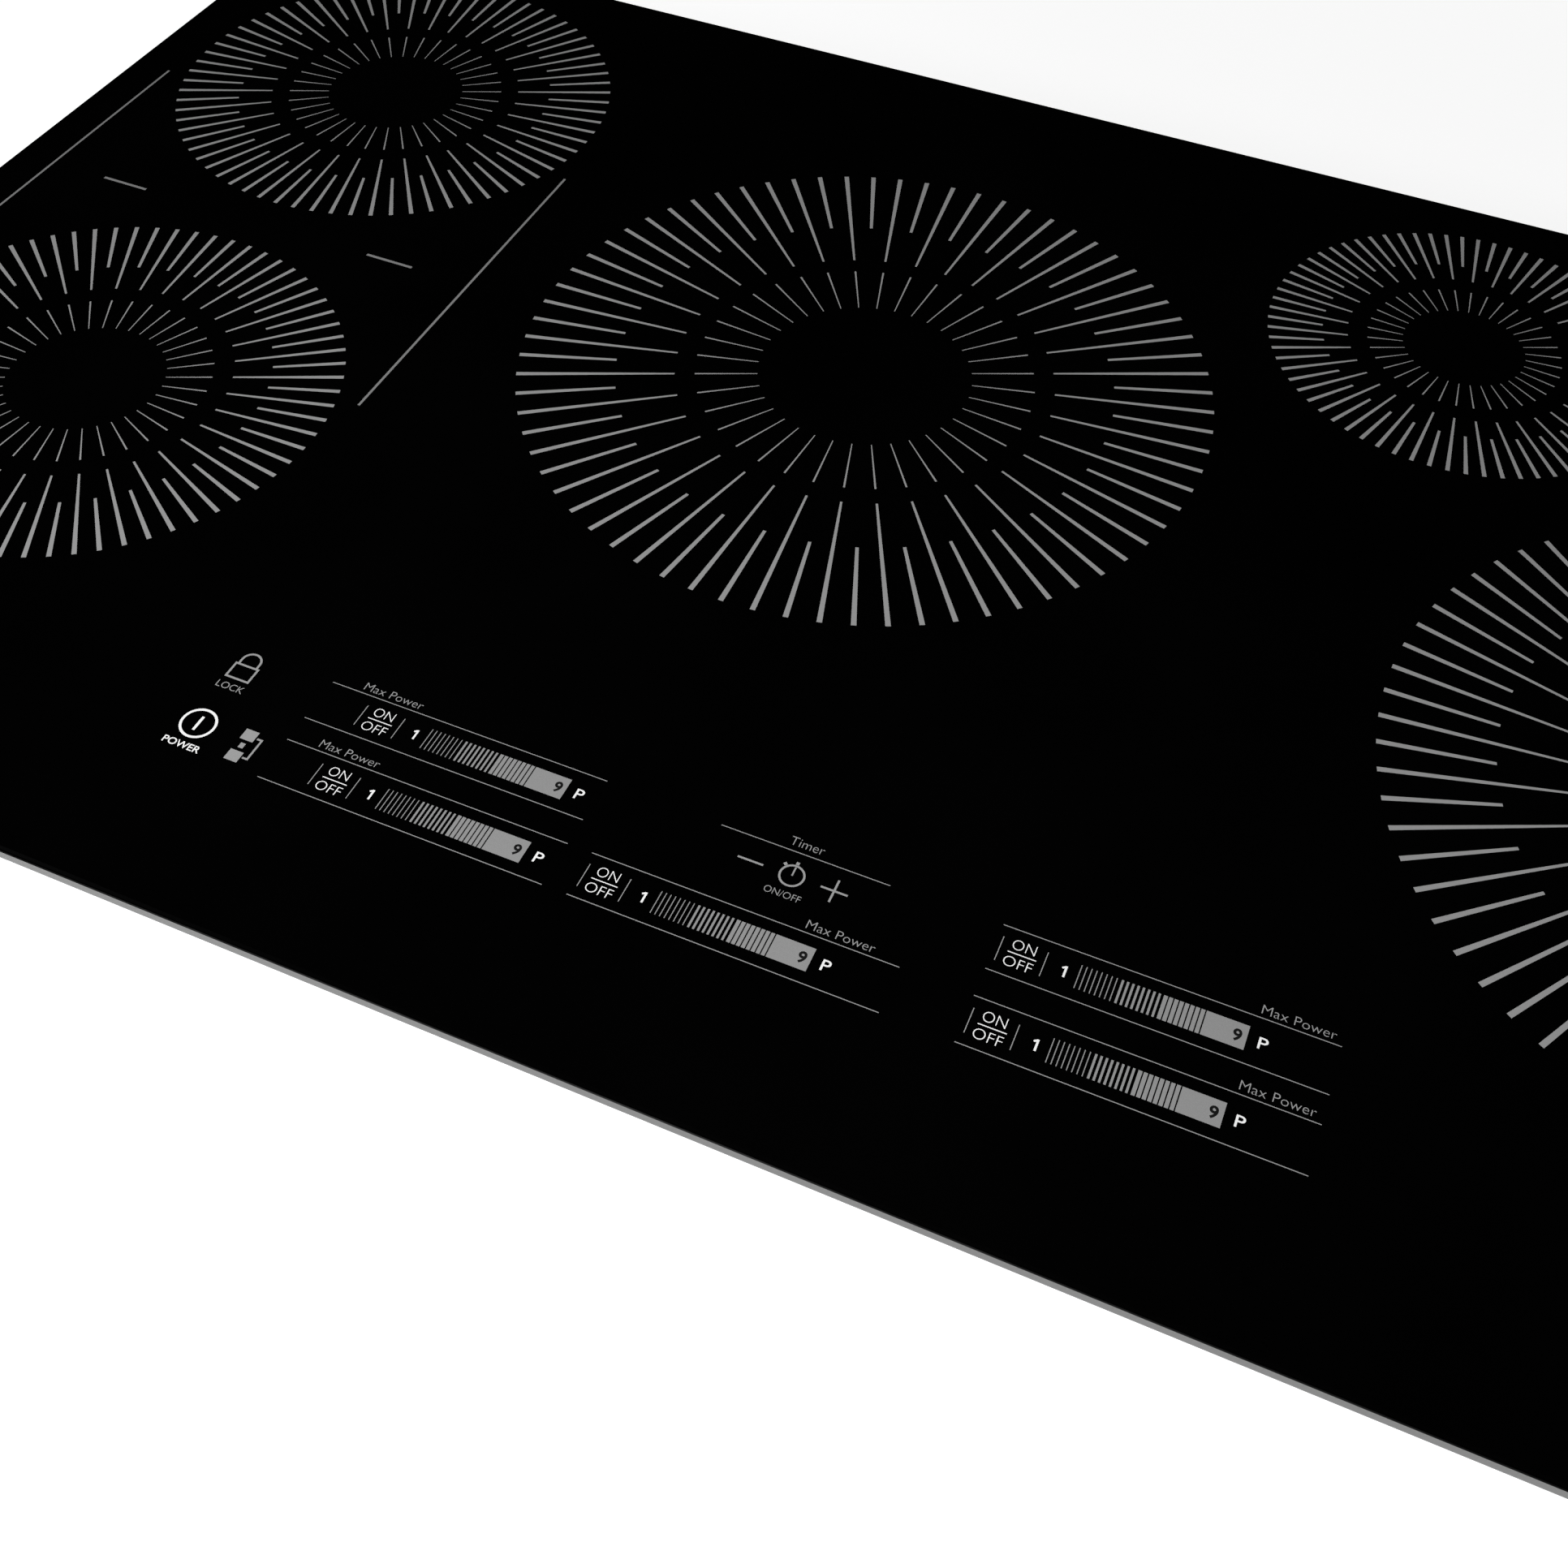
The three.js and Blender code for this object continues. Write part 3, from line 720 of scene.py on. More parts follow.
# Labels as (words, left, right, bottom, top, weight). Those of a row are measured from where the
# panel's content starts and from the row's bottom line, and its caption from the caption's own start.
ROW_LABELS = [
    ("ON", 3.3, 10.65, 9.9, 13.6, -0.017),
    ("OFF", 2.4, 11.4, 3.45, 7.1, -0.017),
    ("P", 79.7, 82.6, 6.55, 10.6, 0.006),
]
ROW_DIGIT = ("9", 72.1, 74.8, 6.3, 10.7, 0.03)
ROW_CAPTION = ("Max Power", 0, 22.2, 18.6, 21.8, -0.014)
POWER_LABEL = ("POWER", -200.2, -186.2, 56.25, 59.05, 0.012)
GREY_LABELS = [
    ("LOCK", -198.3, -188.1, 83.6, 86.4, -0.006),
    ("Timer", 3.3, 14.8, 102.2, 105.5, -0.014),
    ("ON/OFF", 2.8, 14.9, 82.4, 84.9, -0.01),
]


def print_labels():
    white = Lettering()
    soft = Lettering()
    black = Lettering()
    for panel, y in panel_rows():
        for label in ROW_LABELS:
            white.write(*label, panel.content, y)
        black.write(*ROW_DIGIT, panel.content, y, INK_HIGH, INK_HIGH + 0.01 * MM)
        soft.write(*ROW_CAPTION, panel.caption, y)
    white.write(*POWER_LABEL)
    for label in GREY_LABELS:
        soft.write(*label)
    white.finish("print_labels_white", INK_WHITE)
    soft.finish("print_labels_grey", INK_GREY)
    black.finish("print_digits_black", INK_BLACK)


ON_OFF_LINE = (2.65, 11.65, 8.55, 0.35)  # left, right, height and width
ONE_PLACE = (20.3, 6.55)
ONE_OUTLINE = [(0.1, 0), (0.8, 0), (0.8, 4.05), (0.15, 4.05), (-0.9, 3.3), (-0.55, 2.8), (0.1, 3.15)]


def print_label_marks():
    """The line between ON and OFF, and the digit 1, in each row."""
    marks = Print()
    left, right, height, width = ON_OFF_LINE
    for panel, y in panel_rows():
        x = panel.content
        marks.line((x + left, y + height), (x + right, y + height), width)
        one_x, one_y = x + ONE_PLACE[0], y + ONE_PLACE[1]
        marks.fill([(one_x + dx, one_y + dy) for dx, dy in ONE_OUTLINE])
    marks.finish("print_label_marks", INK_WHITE)


def print_power_icon():
    """A ring with an upright bar in it."""
    graphic = Print()
    x, y = -193.4, 67.3
    graphic.arc((x, y), 5.9, 0.92)
    bar = 3.05
    graphic.line((x, y - bar), (x, y + bar), 1.0)
    graphic.finish("print_icon_power", INK_WHITE)


def print_lock_icon():
    """A padlock: a frame for its body and a shackle of two legs and a half ring."""
    graphic = Print()
    left, right, low, high, shackle_top = -197.9, -188.5, 88.45, 95.45, 101.1
    w = 0.78
    graphic.rectangle(left, low, right, low + w)
    graphic.rectangle(left, high - w, right, high)
    graphic.rectangle(left, low + w, left + w, high - w)
    graphic.rectangle(right - w, low + w, right, high - w)
    middle = (left + right) / 2
    radius = 3.45
    bend = shackle_top - radius - w / 2
    for x in (middle - radius, middle + radius):
        graphic.line((x, high), (x, bend), w)
    graphic.arc((middle, bend), radius, w, 0, 180, 20)
    graphic.finish("print_icon_lock", INK_GREY)


def print_bridge_icon():
    """Two squares with a small block between them and a bracket that joins them."""
    graphic = Print()
    left, right = -177.6, -172.7
    for low, high in ((67.6, 72.0), (58.4, 62.8)):
        graphic.rectangle(left, low, right, high)
    graphic.rectangle(-176.0, 64.1, -174.2, 66.25)
    left, right, low, high = -172.1, -169.9, 60.6, 69.85
    w = 0.72
    graphic.rectangle(left, high - w, right, high)
    graphic.rectangle(left, low, right, low + w)
    graphic.rectangle(right - w, low + w, right, high - w)
    graphic.finish("print_icon_bridge", INK_GREY)


def print_timer_icons():
    """A stopwatch between a minus and a plus, on one level."""
    graphic = Print()
    minus_left, minus_right, watch_x, plus_x, y = -9.5, -0.8, 8.9, 23.1, 91.15
    w = 0.7
    watch = Vector((watch_x, y))
    graphic.arc(watch, 3.92, w)
    graphic.line(watch, watch + Vector((0, 3.4)), 0.55)
    for angle in (math.radians(90), math.radians(136)):
        ray = Vector((math.cos(angle), math.sin(angle)))
        graphic.line(watch + ray * 4.4, watch + ray * 5.5, 1.1)
    graphic.line((minus_left, y), (minus_right, y), w)
    half = 4.5
    graphic.line((plus_x - half, y), (plus_x + half, y), w)
    for low, high in ((-4.4, -w / 2), (w / 2, 4.4)):
        graphic.line((plus_x, y + low), (plus_x, y + high), w)
    graphic.finish("print_icons_timer", INK_GREY)


def print_glass():
    for name in ZONES:
        print_zone(name)
    print_bridge()
    print_panel_lines()
    print_scales()
    print_labels()
    print_label_marks()
    print_power_icon()
    print_lock_icon()
    print_bridge_icon()
    print_timer_icons()


# ---------- fasteners and clamps ----------


def add_screw_head(bm, place, direction, radius, height):
    """A domed head that faces a direction, with a flush black cross of painted shade in place of its
    recess.
    """
    first = len(bm.verts)
    r, h = radius * MM, height * MM
    dome = [(0, 0), (r, 0), (r, 0.35 * h), (0.82 * r, 0.75 * h), (0.45 * r, h), (0, h)]
    add_turned(bm, (0, 0, 0), dome, 20)
    # Painted shade: the recess isn't cut; a black cross, flush with the dome, stands in for its
    # shadowed hollow.
    long, short = 0.42 * r, 0.09 * r
    for x, y in ((long, short), (short, long)):
        add_box(bm, (-x, -y, 0.6 * h), (x, y, 1.02 * h), 1)
    aim(bm, first, direction, place)


def make_screws(name, places, direction, *size):
    """A group of heads that face one direction."""
    bm = bmesh.new()
    for place in places:
        add_screw_head(bm, place, direction, *size)
    # The second material is black, and it paints the shade of the recesses.
    piece(f"screws_{name}", bm, [ZINC, BLACK_NYLON_AND_RECESS_SHADE])


COVER_SCREW = (3.2, 2.0)  # radius and height of a head, in millimetres
PAN_SCREW = (2.8, 1.6)
SIDE_SCREWS = (0.08, 0.3, 0.5, 0.7, 0.92)  # shares of a side wall's length
LONG_SCREWS = (0.05, 0.23, 0.41, 0.59, 0.77, 0.95)  # shares of the front and back walls' length


def make_outer_screws():
    """A head at each corner of the inlet cover, and a row along each of the pan's four walls."""
    low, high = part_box("inlet_cover")
    inset = 6 * MM
    spots = corners(low.x + inset, low.z + inset, high.x - inset, high.z - inset)
    make_screws("inlet_cover", [(x, high.y, z) for x, z in spots], (0, 1, 0), *COVER_SCREW)
    level = PAN_HIGH.z - 9 * MM
    ys = [PAN_LOW.y + share * (PAN_HIGH.y - PAN_LOW.y) for share in SIDE_SCREWS]
    xs = [PAN_LOW.x + share * (PAN_HIGH.x - PAN_LOW.x) for share in LONG_SCREWS]
    for name, x, sign in (("pan_left", PAN_LOW.x, -1), ("pan_right", PAN_HIGH.x, 1)):
        make_screws(name, [(x, y, level) for y in ys], (sign, 0, 0), *PAN_SCREW)
    for name, y, sign in (("pan_front", PAN_LOW.y, -1), ("pan_back", PAN_HIGH.y, 1)):
        make_screws(name, [(x, y, level) for x in xs], (0, sign, 0), *PAN_SCREW)


GLAND_LENGTH = 22.0
# Sections of the gland from its spigot out and back through its bore, by shape:
# (distance from the cover, radius).
GLAND_SECTIONS = [
    ("round", [(-8.0, 11.0), (0.0, 11.0)]),
    ("hexagon", [(0.0, 14.4), (0.8, 15.5), (6.2, 15.5), (7.0, 14.4)]),
    ("round", [(7.0, 12.2), (8.4, 12.2)]),
    ("fluted", [(8.4, 13.0), (9.2, 13.5), (18.4, 13.5)]),
    ("round", [(19.4, 12.9), (21.2, 11.2), (GLAND_LENGTH, 9.6), (GLAND_LENGTH, 8.8)]),
    ("round", [(20.6, 8.0), (-8.0, 8.0)]),
]
GLAND_SEAL_FROM = 15  # the bore is lined with rubber from this section on
GLAND_FLUTES = 12
GLAND_STEPS = 72


def gland_radius(radius, shape, angle):
    """The radius of a section of the gland at an angle round its axis, measured from a corner."""
    if shape == "hexagon":
        half_side = TURN / 12
        return radius * math.cos(half_side) / math.cos(angle % (2 * half_side) - half_side)
    if shape == "fluted":
        return radius - 0.35 * (1 - math.cos(GLAND_FLUTES * angle))
    return radius


def make_gland():
    """A hexagon body, a fluted clamping nut with a rounded end and a rubber-lined bore."""
    low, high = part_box("conduit_gland")
    middle = (low + high) / 2
    cover = high.y - GLAND_LENGTH * MM
    bm = bmesh.new()
    rings = []
    sections = [(shape, *place) for shape, places in GLAND_SECTIONS for place in places]
    for shape, distance, radius in sections:
        y = cover + distance * MM
        ring = []
        for i in range(GLAND_STEPS):
            angle = TURN * i / GLAND_STEPS
            r = gland_radius(radius, shape, angle) * MM
            x, z = middle.x + r * math.sin(angle), middle.z + r * math.cos(angle)
            ring.append(bm.verts.new((x, y, z)))
        rings.append(ring)
    for i, (first, second) in enumerate(zip(rings, rings[1:] + rings[:1])):
        join_rings(bm, first, second, int(i >= GLAND_SEAL_FROM))
    made = piece("gland_with_seal", bm, [ZINC, FOAM])
    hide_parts("conduit_gland")


CORNERS = ["front_left", "rear_left", "front_right", "rear_right"]
BRACKET_SHEET = 1.6 * MM
RIVET_DOME = in_mm([(0, 0), (3.1, 0), (3.0, 0.7), (2.1, 1.25), (1.2, 1.4), (0, 1.2)])
RIVET_OUT = 9 * MM  # from the middle of the bracket, and down from its top


def make_bracket_rivets():
    """Two domed rivets that hold each bracket to the pan's wall."""
    for corner in CORNERS:
        low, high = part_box(f"clamp_bracket_{corner}")
        sign = 1 if low.x > 0 else -1
        face = low.x + BRACKET_SHEET if sign > 0 else high.x - BRACKET_SHEET
        bm = bmesh.new()
        for dy in (-RIVET_OUT, RIVET_OUT):
            first = len(bm.verts)
            add_turned(bm, (0, 0, 0), RIVET_DOME, 20)
            aim(bm, first, (sign, 0, 0), (face, (low.y + high.y) / 2 + dy, high.z - RIVET_OUT))
        piece(f"rivets_bracket_{corner}", bm, [ALUMINIUM])


def add_thread(bm, centre, radius, depth, pitch, low, high, sides=20, steps_per_turn=10):
    """A rod with a true helical ridge, capped at both ends."""
    count = round((high - low) / pitch * steps_per_turn)
    rings = []
    for i in range(count + 1):
        z = low + (high - low) * i / count
        ring = []
        for k, (c, s) in enumerate(circle(sides)):
            phase = ((z - low) / pitch - k / sides) % 1
            r = radius - depth * abs(2 * phase - 1)
            ring.append(bm.verts.new((centre[0] + r * c, centre[1] + r * s, z)))
        rings.append(ring)
    add_stack(bm, rings)


CLAMP_HEAD_RADIUS = 7.0 * MM
CLAMP_HEAD_TOP = 5 * MM
CLAMP_CHAMFER = 0.8 * MM
CLAMP_CHAMFER_SECTION = in_mm([(0, 0), (5.2, 0), (5.9, 0.8), (0, 0.8)])
CLAMP_CUP = in_mm([(0, -4), (5.4, -4), (7.3, -2.4), (7.3, -1.2), (0, -1.2)])
CLAMP_RUBBER = in_mm([(0, -1.2), (6.9, -1.2), (7.1, -0.4), (6.6, 0), (0, 0)])
THREAD_RADIUS, THREAD_DEPTH, THREAD_PITCH = 2.9 * MM, 0.45 * MM, 1.0 * MM
THREAD_FROM, THREAD_TO = 4.8 * MM, 3.4 * MM  # above the screw's lowest point, and below its highest


def make_clamp_screws():
    """Hexagon head, threaded shank and a swivel pad with a rubber face, in place of the plain screw."""
    for corner in CORNERS:
        low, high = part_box(f"clamp_screw_{corner}")
        x, y, _ = (low + high) / 2
        bm = bmesh.new()
        hexagon = [(x + CLAMP_HEAD_RADIUS * c, y + CLAMP_HEAD_RADIUS * s) for c, s in circle(6)]
        add_prism(bm, hexagon, low.z + CLAMP_CHAMFER, low.z + CLAMP_HEAD_TOP)
        add_turned(bm, (x, y, low.z), CLAMP_CHAMFER_SECTION)
        start, end = low.z + THREAD_FROM, high.z - THREAD_TO
        add_thread(bm, (x, y), THREAD_RADIUS, THREAD_DEPTH, THREAD_PITCH, start, end)
        add_turned(bm, (x, y, high.z), CLAMP_CUP)
        add_turned(bm, (x, y, high.z), CLAMP_RUBBER, index=1)
        name = f"clamp_screw_threaded_{corner}"
        made = piece(name, bm, [ZINC, FOAM], f"screw_{corner}")
        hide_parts(f"clamp_screw_{corner}")


# ---------- coils ----------

LITZ_PITCH = 4.35 * MM
LITZ_RADIUS = 2.05 * MM
LITZ_STEPS = 48
LITZ_GAP = 0.3 * MM
WINDING_BORE = 19.1 * MM


def make_windings():
    """Each winding is one flat spiral of litz wire, turn beside turn."""
    for zone in ZONES:
        low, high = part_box(f"coil_winding_{zone}")
        centre = (low + high) / 2
        outer = (high.x - low.x) / 2 - LITZ_RADIUS - LITZ_GAP
        inner = WINDING_BORE + LITZ_RADIUS + LITZ_GAP
        count = int((outer - inner) / LITZ_PITCH * LITZ_STEPS)
        path = []
        for i in range(count + 1):
            angle = TURN * i / LITZ_STEPS
            r = inner + (outer - inner) * i / count
            path.append((centre.x + r * math.cos(angle), centre.y + r * math.sin(angle), centre.z))
        bm = bmesh.new()
        add_tube(bm, path, LITZ_RADIUS, 7)
        made = piece(f"litz_winding_{zone}", bm, [COPPER])
        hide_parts(f"coil_winding_{zone}")


FERRITE_BARS = {"rear_right": 6}  # the other zones have 8
FERRITE_WIDTH = 14 * MM
FERRITE_LOW, FERRITE_HIGH = 0.3 * MM, 4.9 * MM  # above the coil plate
FERRITE_HOLE = 20 * MM  # no bar starts nearer to the middle of its coil
FERRITE_CHAMFER = 0.8 * MM


def make_ferrites():
    """Flat bars in a star between each coil former and its aluminium plate."""
    plate_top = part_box("coil_plate_centre")[1].z
    for zone in ZONES:
        low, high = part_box(f"coil_former_{zone}")
        centre = (low + high) / 2
        bars = FERRITE_BARS.get(zone, 8)
        inner = max(FERRITE_HOLE, FERRITE_WIDTH * bars / TURN + 2 * MM)
        outer = (high.x - low.x) / 2 - 8 * MM
        near = (inner, -FERRITE_WIDTH / 2, plate_top + FERRITE_LOW)
        far = (outer, FERRITE_WIDTH / 2, plate_top + FERRITE_HIGH)
        bm = bmesh.new()
        for i in range(bars):
            start = len(bm.verts)
            add_chamfered_box(bm, near, far, FERRITE_CHAMFER)
            bm.verts.ensure_lookup_table()
            turn = Matrix.Rotation(TURN * (i + 0.5) / bars, 3, "Z")
            bmesh.ops.rotate(bm, verts=bm.verts[start:], cent=(0, 0, 0), matrix=turn)
        bmesh.ops.translate(bm, verts=bm.verts, vec=(centre.x, centre.y, 0))
        piece(f"ferrite_bars_{zone}", bm, [FERRITE], smooth=False)


# ---------- blowers ----------

ROTOR_BLADES = 30
BLADE_INNER = 29 * MM
BLADE_SWEEP = 0.22
BLADE_LEGS = 5
BLADE_HALF_THICKNESS = 0.45 * MM


def add_blade(bm, x, y, base, outer, bottom, top):
    """One upright blade that curves forward as it runs out from the hub."""
    line = []
    for i in range(BLADE_LEGS + 1):
        share = i / BLADE_LEGS
        line.append((BLADE_INNER + share * (outer - BLADE_INNER), base + BLADE_SWEEP * share**2))
    outline = []
    for side, points in ((-BLADE_HALF_THICKNESS, line), (BLADE_HALF_THICKNESS, line[::-1])):
        for r, angle in points:
            c, s = math.cos(angle), math.sin(angle)
            outline.append((x + r * c - side * s, y + r * s + side * c))
    add_prism(bm, outline, bottom, top)


def make_rotors():
    """A centrifugal rotor with forward-curved blades between its back plate and its tip ring."""
    for side in ("left", "right"):
        low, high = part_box(f"blower_rotor_{side}")
        x, y, _ = (low + high) / 2
        radius = (high.x - low.x) / 2 - 0.1 * MM
        bm = bmesh.new()
        add_ring(bm, (x, y, 0), 2.3 * MM, 11 * MM, low.z + 3 * MM, high.z - 1 * MM)
        add_ring(bm, (x, y, 0), 10 * MM, radius, high.z - 1.6 * MM, high.z)
        add_ring(bm, (x, y, 0), radius - 2.4 * MM, radius, low.z, low.z + 1.6 * MM)
        for blade in range(ROTOR_BLADES):
            base = TURN * blade / ROTOR_BLADES
            outer = radius - 0.4 * MM
            add_blade(bm, x, y, base, outer, low.z + 0.9 * MM, high.z - 0.9 * MM)
        bmesh.ops.remove_doubles(bm, verts=bm.verts, dist=1e-7)
        name, body = f"blower_wheel_{side}", f"rotor_{side}"
        made = piece(name, bm, [BLACK_NYLON_AND_RECESS_SHADE], body, smooth=False)
        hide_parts(f"blower_rotor_{side}")


# ---------- circuit boards ----------

PART_LOOKS = [YELLOW_FILM, GREY_FILM, BLACK_NYLON_AND_RECESS_SHADE, ALUMINIUM, WHITE_NYLON, COPPER, FERRITE, TINNED]
FILM, GREY, BLACK, CAN, WHITE, WIRE, CORE, TIN = range(len(PART_LOOKS))


def add_block(bm, board_top, x, y, width, depth, height, index, chamfer):
    """A rectangular part, centred at (x, y) on the board; sizes in millimetres."""
    dx, dy = width / 2 * MM, depth / 2 * MM
    low, high = (x - dx, y - dy, board_top), (x + dx, y + dy, board_top + height * MM)
    add_chamfered_box(bm, low, high, chamfer * MM, index)


def add_can(bm, board_top, x, y, radius, height):
    """An electrolytic capacitor: a sleeve with a rolled top and a bare vent disc."""
    r, h = radius * MM, height * MM
    lip, dip, proud = 0.6 * MM, 0.2 * MM, 0.05 * MM
    side = [(0, 0), (r - lip, 0), (r, lip), (r, h - lip), (r - lip, h)]
    add_turned(bm, (x, y, board_top), [*side, (0.8 * r, h), (0, h - dip)], index=BLACK)
    disc = [(0, h - dip), (0.78 * r, h - dip), (0.78 * r, h + proud), (0, h + proud)]
    add_turned(bm, (x, y, board_top), disc, index=CAN)


def add_choke(bm, board_top, x, y, radius, section, turns):
    """A toroid lying on the board, with its winding wrapped round the core."""
    big, small = radius * MM, section * MM
    wire = 0.9 * MM
    z = board_top + small + 2 * wire
    core = [(x + big * c, y + big * s, z) for c, s in circle(40)]
    add_tube(bm, core, small, 10, closed=True, index=CORE)
    for turn in range(turns):
        angle = TURN * turn / turns
        if abs(math.sin(angle)) < 0.2:
            continue
        loop = []
        for c, s in circle(12):
            r = big + (small + wire) * c
            lean = angle + 0.06 * s
            loop.append((x + r * math.cos(lean), y + r * math.sin(lean), z + (small + wire) * s))
        add_tube(bm, loop, wire, 6, closed=True, index=WIRE)


CHIP_SIZES = [(3.2, 1.6), (2.0, 1.2), (5.0, 4.0), (4.0, 2.4)]


def scatter_chips(bm, low, high, top, count):
    """Small surface parts in a band of the board, from a seeded random order."""
    for _ in range(count):
        x = random.uniform(low[0], high[0])
        y = random.uniform(low[1], high[1])
        width, depth = random.choice(CHIP_SIZES)
        height = random.choice([0.8, 1.4])
        look = random.choice([BLACK, GREY, TIN])
        add_block(bm, top, x, y, width, depth, height, look, 0.2)


def make_power_parts():
    """Resonant capacitors, a filter choke, drivers and connectors beside each heatsink."""
    for side in ("left", "centre", "right"):
        low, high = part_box(f"power_board_{side}")
        sink_low, sink_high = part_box(f"heatsink_{side}")
        top = high.z
        bm = bmesh.new()
        lane = (low.x + sink_low.x) / 2
        depth = high.y - low.y
        for share in (0.2, 0.38, 0.56):
            add_block(bm, top, lane, low.y + share * depth, 30, 17, 25, FILM, 1.2)
        add_can(bm, top, lane - 8 * MM, low.y + 0.74 * depth, 8, 28)
        add_can(bm, top, lane + 10 * MM, low.y + 0.74 * depth, 6.5, 22)
        lane = (high.x + sink_high.x) / 2
        add_choke(bm, top, lane, low.y + 0.3 * depth, 13, 5, 26)
        add_block(bm, top, lane, low.y + 0.55 * depth, 26, 20, 16, BLACK, 1.0)
        add_block(bm, top, lane, low.y + 0.72 * depth, 22, 9, 9, WHITE, 0.6)
        chips_low = (lane - 15 * MM, low.y + 12 * MM)
        chips_high = (lane + 15 * MM, low.y + 0.15 * depth)
        scatter_chips(bm, chips_low, chips_high, top, 16)
        piece(f"power_board_parts_{side}", bm, PART_LOOKS)


def make_filter_parts():
    """Chokes, interference capacitors, relays and fuses of the mains filter."""
    low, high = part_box("filter_board")
    top = high.z
    bm = bmesh.new()
    middle = (low.y + high.y) / 2
    for dx, dy in ((-62, 18), (-62, -32), (60, 20)):
        add_choke(bm, top, (low.x + high.x) / 2 + dx * MM, middle + dy * MM, 15, 5.5, 30)
    for i in range(3):
        x = low.x + (85 + 28 * i) * MM
        add_block(bm, top, x, middle + 30 * MM, 22, 30, 19, FILM, 1.2)
        add_block(bm, top, x, middle - 8 * MM, 20, 26, 18, BLACK, 0.8)
        add_block(bm, top, x, middle - 42 * MM, 22, 7, 8, WHITE, 0.5)
    scatter_chips(bm, (high.x - 40 * MM, low.y + 12 * MM), (high.x - 12 * MM, middle), top, 14)
    piece("filter_board_parts", bm, PART_LOOKS)


LAMP_HOLDERS = 15


def make_control_parts():
    """Driver chips and lamp holders that hang from the touch board into its carrier."""
    low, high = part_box("control_board")
    bm = bmesh.new()
    middle = (low.y + high.y) / 2

    def hang(x, half_width, near, far, depth, index):
        """A block under the board, from `near` to `far` behind its middle line, in millimetres."""
        corner = (x - half_width * MM, middle + near * MM, low.z - depth * MM)
        other = (x + half_width * MM, middle + far * MM, low.z - 0.1 * MM)
        add_box(bm, corner, other, index)

    for i in range(LAMP_HOLDERS):
        x = low.x + (high.x - low.x) * (i + 0.5) / LAMP_HOLDERS
        hang(x, 4, 6, 14, 4, WHITE)
        if i % 3 == 1:
            hang(x, 5, -13, -6, 1.6, BLACK)
    piece("control_board_parts", bm, PART_LOOKS, smooth=False)


def smooth_route(points, per_leg=8):
    """A rounded path through a few points."""
    knots = [Vector(p) for p in points]
    knots = [2 * knots[0] - knots[1], *knots, 2 * knots[-1] - knots[-2]]
    route = []
    for a, b, c, d in zip(knots, knots[1:], knots[2:], knots[3:]):
        route += interpolate_bezier(b, b + (c - a) / 6, c - (d - b) / 6, c, per_leg + 1)[:-1]
    return [*route, knots[-2]]


LEAD_RADIUS = 1.7 * MM


def make_supply_leads():
    """Four wires from the terminal block along the back of the pan to the filter board."""
    block_low, block_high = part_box("terminal_block")
    board_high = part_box("filter_board")[1]
    looks = [BLACK_SLEEVE, RED_SLEEVE, WHITE_SLEEVE, BLACK_SLEEVE]
    for i, look in enumerate(looks):
        start_x = block_low.x + (17 + 15.6 * i) * MM
        level = block_high.z - 4 * MM - (i % 2) * 5 * MM
        run_y = block_low.y - (12 + 5 * i) * MM
        end = (board_high.x - 8 * MM, board_high.y - (20 + 9 * i) * MM, board_high.z + 4 * MM)
        bends = [
            (start_x, block_low.y + 1 * MM, level),
            (start_x, block_low.y - 6 * MM, level),
            (start_x - 14 * MM, run_y, level),
            (block_low.x - 60 * MM, run_y, level),
            (board_high.x + 60 * MM, run_y, level - 2 * MM),
            (board_high.x + 16 * MM, end[1], end[2] + 4 * MM),
            end,
        ]
        bm = bmesh.new()
        add_tube(bm, smooth_route(bends), LEAD_RADIUS)
        piece(f"supply_lead_{i + 1}", bm, [look])


def make_fittings():
    make_outer_screws()
    make_gland()
    make_bracket_rivets()
    make_clamp_screws()
    make_windings()
    make_ferrites()
    make_rotors()
    make_power_parts()
    make_filter_parts()
    make_control_parts()
    make_supply_leads()


# ---------- stage ----------

FLOOR_RADIUS = 40.0
FLOOR_SIDES = 96
FLOOR_GLOW_NEAR = 0.62
FLOOR_GLOW_FAR = 0.92
FLOOR_GLOW_FROM, FLOOR_GLOW_TO = 0.4, 1.3
BACKGROUND = (0.95, 0.955, 0.96, 1)
HORIZON = (0.3, 0.305, 0.31, 1)
OVERHEAD = (0.0, 0.0, 0.0, 1)
HORIZON_TO, OVERHEAD_FROM = 0.05, 0.38  # heights on a sphere of radius 1
KEY_PLACE = Vector((-0.2, -0.77, 0.98))
KEY_TARGET = Vector((0, 0, 0.09))
KEY_SIZE = 0.8
KEY_POWER = 15.8


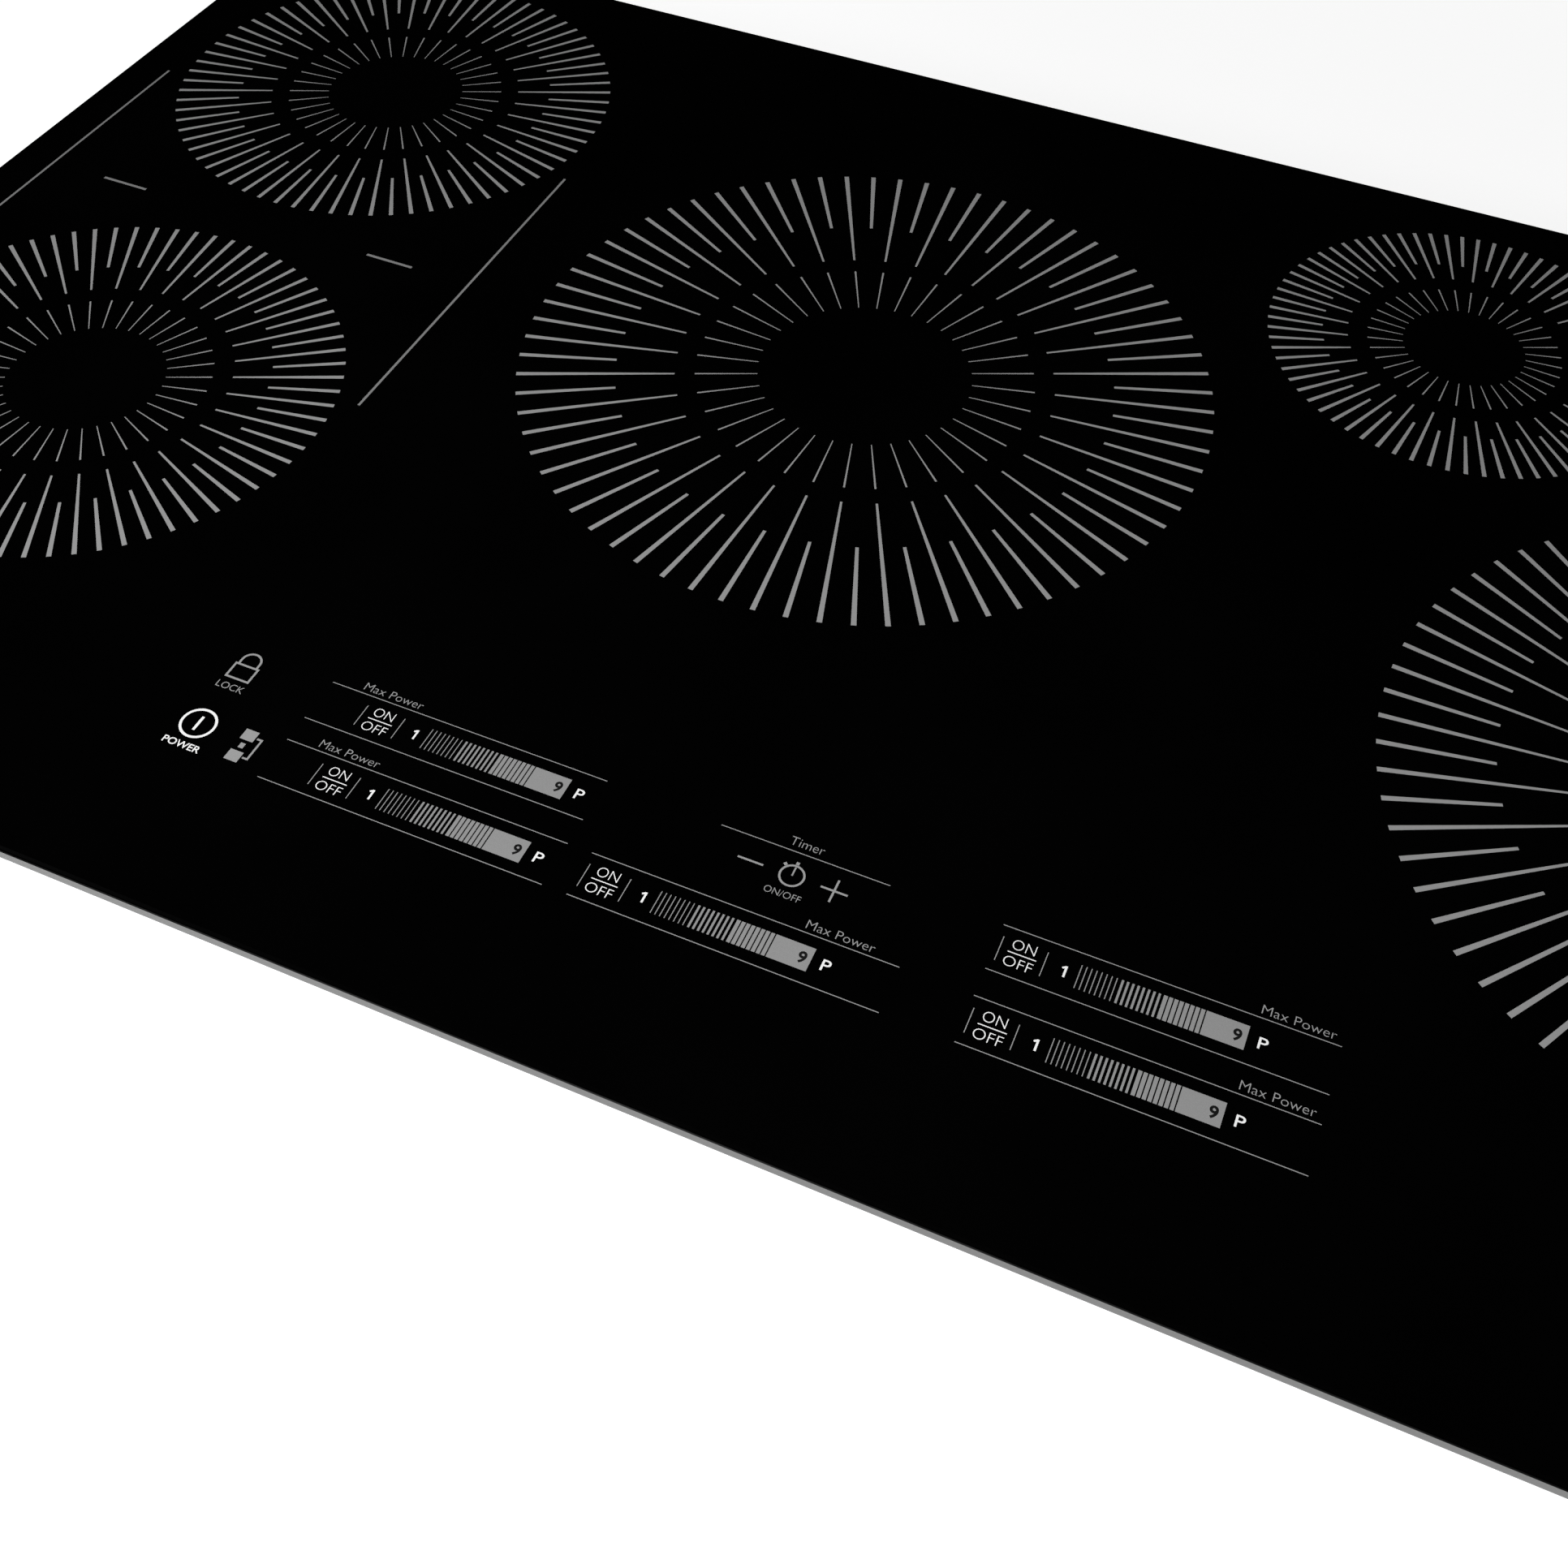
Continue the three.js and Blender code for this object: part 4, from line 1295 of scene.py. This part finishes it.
def make_floor():
    """A pale round floor that glows a little, so that shadows stay faint and its rim isn't seen."""
    m = Nodes("floor")
    m.colour(m.ramp(m.noise(0.7, 2), grey(0.80), grey(0.84)))
    m.gloss(m.noise(3, 3), 0.8, 0.9)
    distance = m.node("VectorMath", operation="LENGTH")
    m.link(m.place, distance.inputs[0])
    away = distance.outputs["Value"]
    glow = m.span(away, FLOOR_GLOW_NEAR, FLOOR_GLOW_FAR, FLOOR_GLOW_FROM, FLOOR_GLOW_TO)
    m.link(glow, m.shader.inputs["Emission Strength"])
    bm = bmesh.new()
    level = PAN_LOW.z - 0.5 * MM
    rim = [(FLOOR_RADIUS * c, FLOOR_RADIUS * s, level) for c, s in circle(FLOOR_SIDES)]
    bm.faces.new([bm.verts.new(point) for point in rim])
    mesh = bpy.data.meshes.new("floor")
    bm.to_mesh(mesh)
    bm.free()
    mesh.materials.append(m.finish(Specular_IOR_Level=0.1, Emission_Color=(1, 1, 1, 1)))
    floor = add_object("floor", mesh)


def make_key_light():
    """One square softbox, aimed at the middle of the glass."""
    data = bpy.data.lights.new("key", "AREA")
    data.shape = "SQUARE"
    data.size = KEY_SIZE
    data.energy = KEY_POWER
    light = add_object("key", data)
    light.location = KEY_PLACE
    light.rotation_euler = (KEY_TARGET - KEY_PLACE).to_track_quat("-Z", "Y").to_euler()


def make_world():
    """An even pale backdrop. What the object mirrors is dim at the horizon and dark overhead."""
    world = bpy.data.worlds.new("studio")
    world.use_nodes = True
    bpy.context.scene.world = world
    tree = world.node_tree
    mirrored = tree.nodes["Background"]
    where = tree.nodes.new("ShaderNodeTexCoord")
    split = tree.nodes.new("ShaderNodeSeparateXYZ")
    ramp = tree.nodes.new("ShaderNodeValToRGB")
    low, high = ramp.color_ramp.elements
    low.position, low.color = HORIZON_TO, HORIZON
    high.position, high.color = OVERHEAD_FROM, OVERHEAD
    link = tree.links.new
    link(where.outputs["Generated"], split.inputs["Vector"])
    link(split.outputs["Z"], ramp.inputs["Fac"])
    link(ramp.outputs["Color"], mirrored.inputs["Color"])
    backdrop = tree.nodes.new("ShaderNodeBackground")
    backdrop.inputs["Color"].default_value = BACKGROUND
    ray = tree.nodes.new("ShaderNodeLightPath")
    chosen = tree.nodes.new("ShaderNodeMixShader")
    link(ray.outputs["Is Camera Ray"], chosen.inputs["Fac"])
    link(mirrored.outputs["Background"], chosen.inputs[1])
    link(backdrop.outputs["Background"], chosen.inputs[2])
    link(chosen.outputs["Shader"], tree.nodes["World Output"].inputs["Surface"])


def make_stage():
    make_floor()
    make_world()
    make_key_light()
    scene = bpy.context.scene
    scene.view_settings.view_transform = "Standard"
    scene.view_settings.look = "None"


make_camera()
paint_frame()
print_glass()
make_fittings()
make_stage()
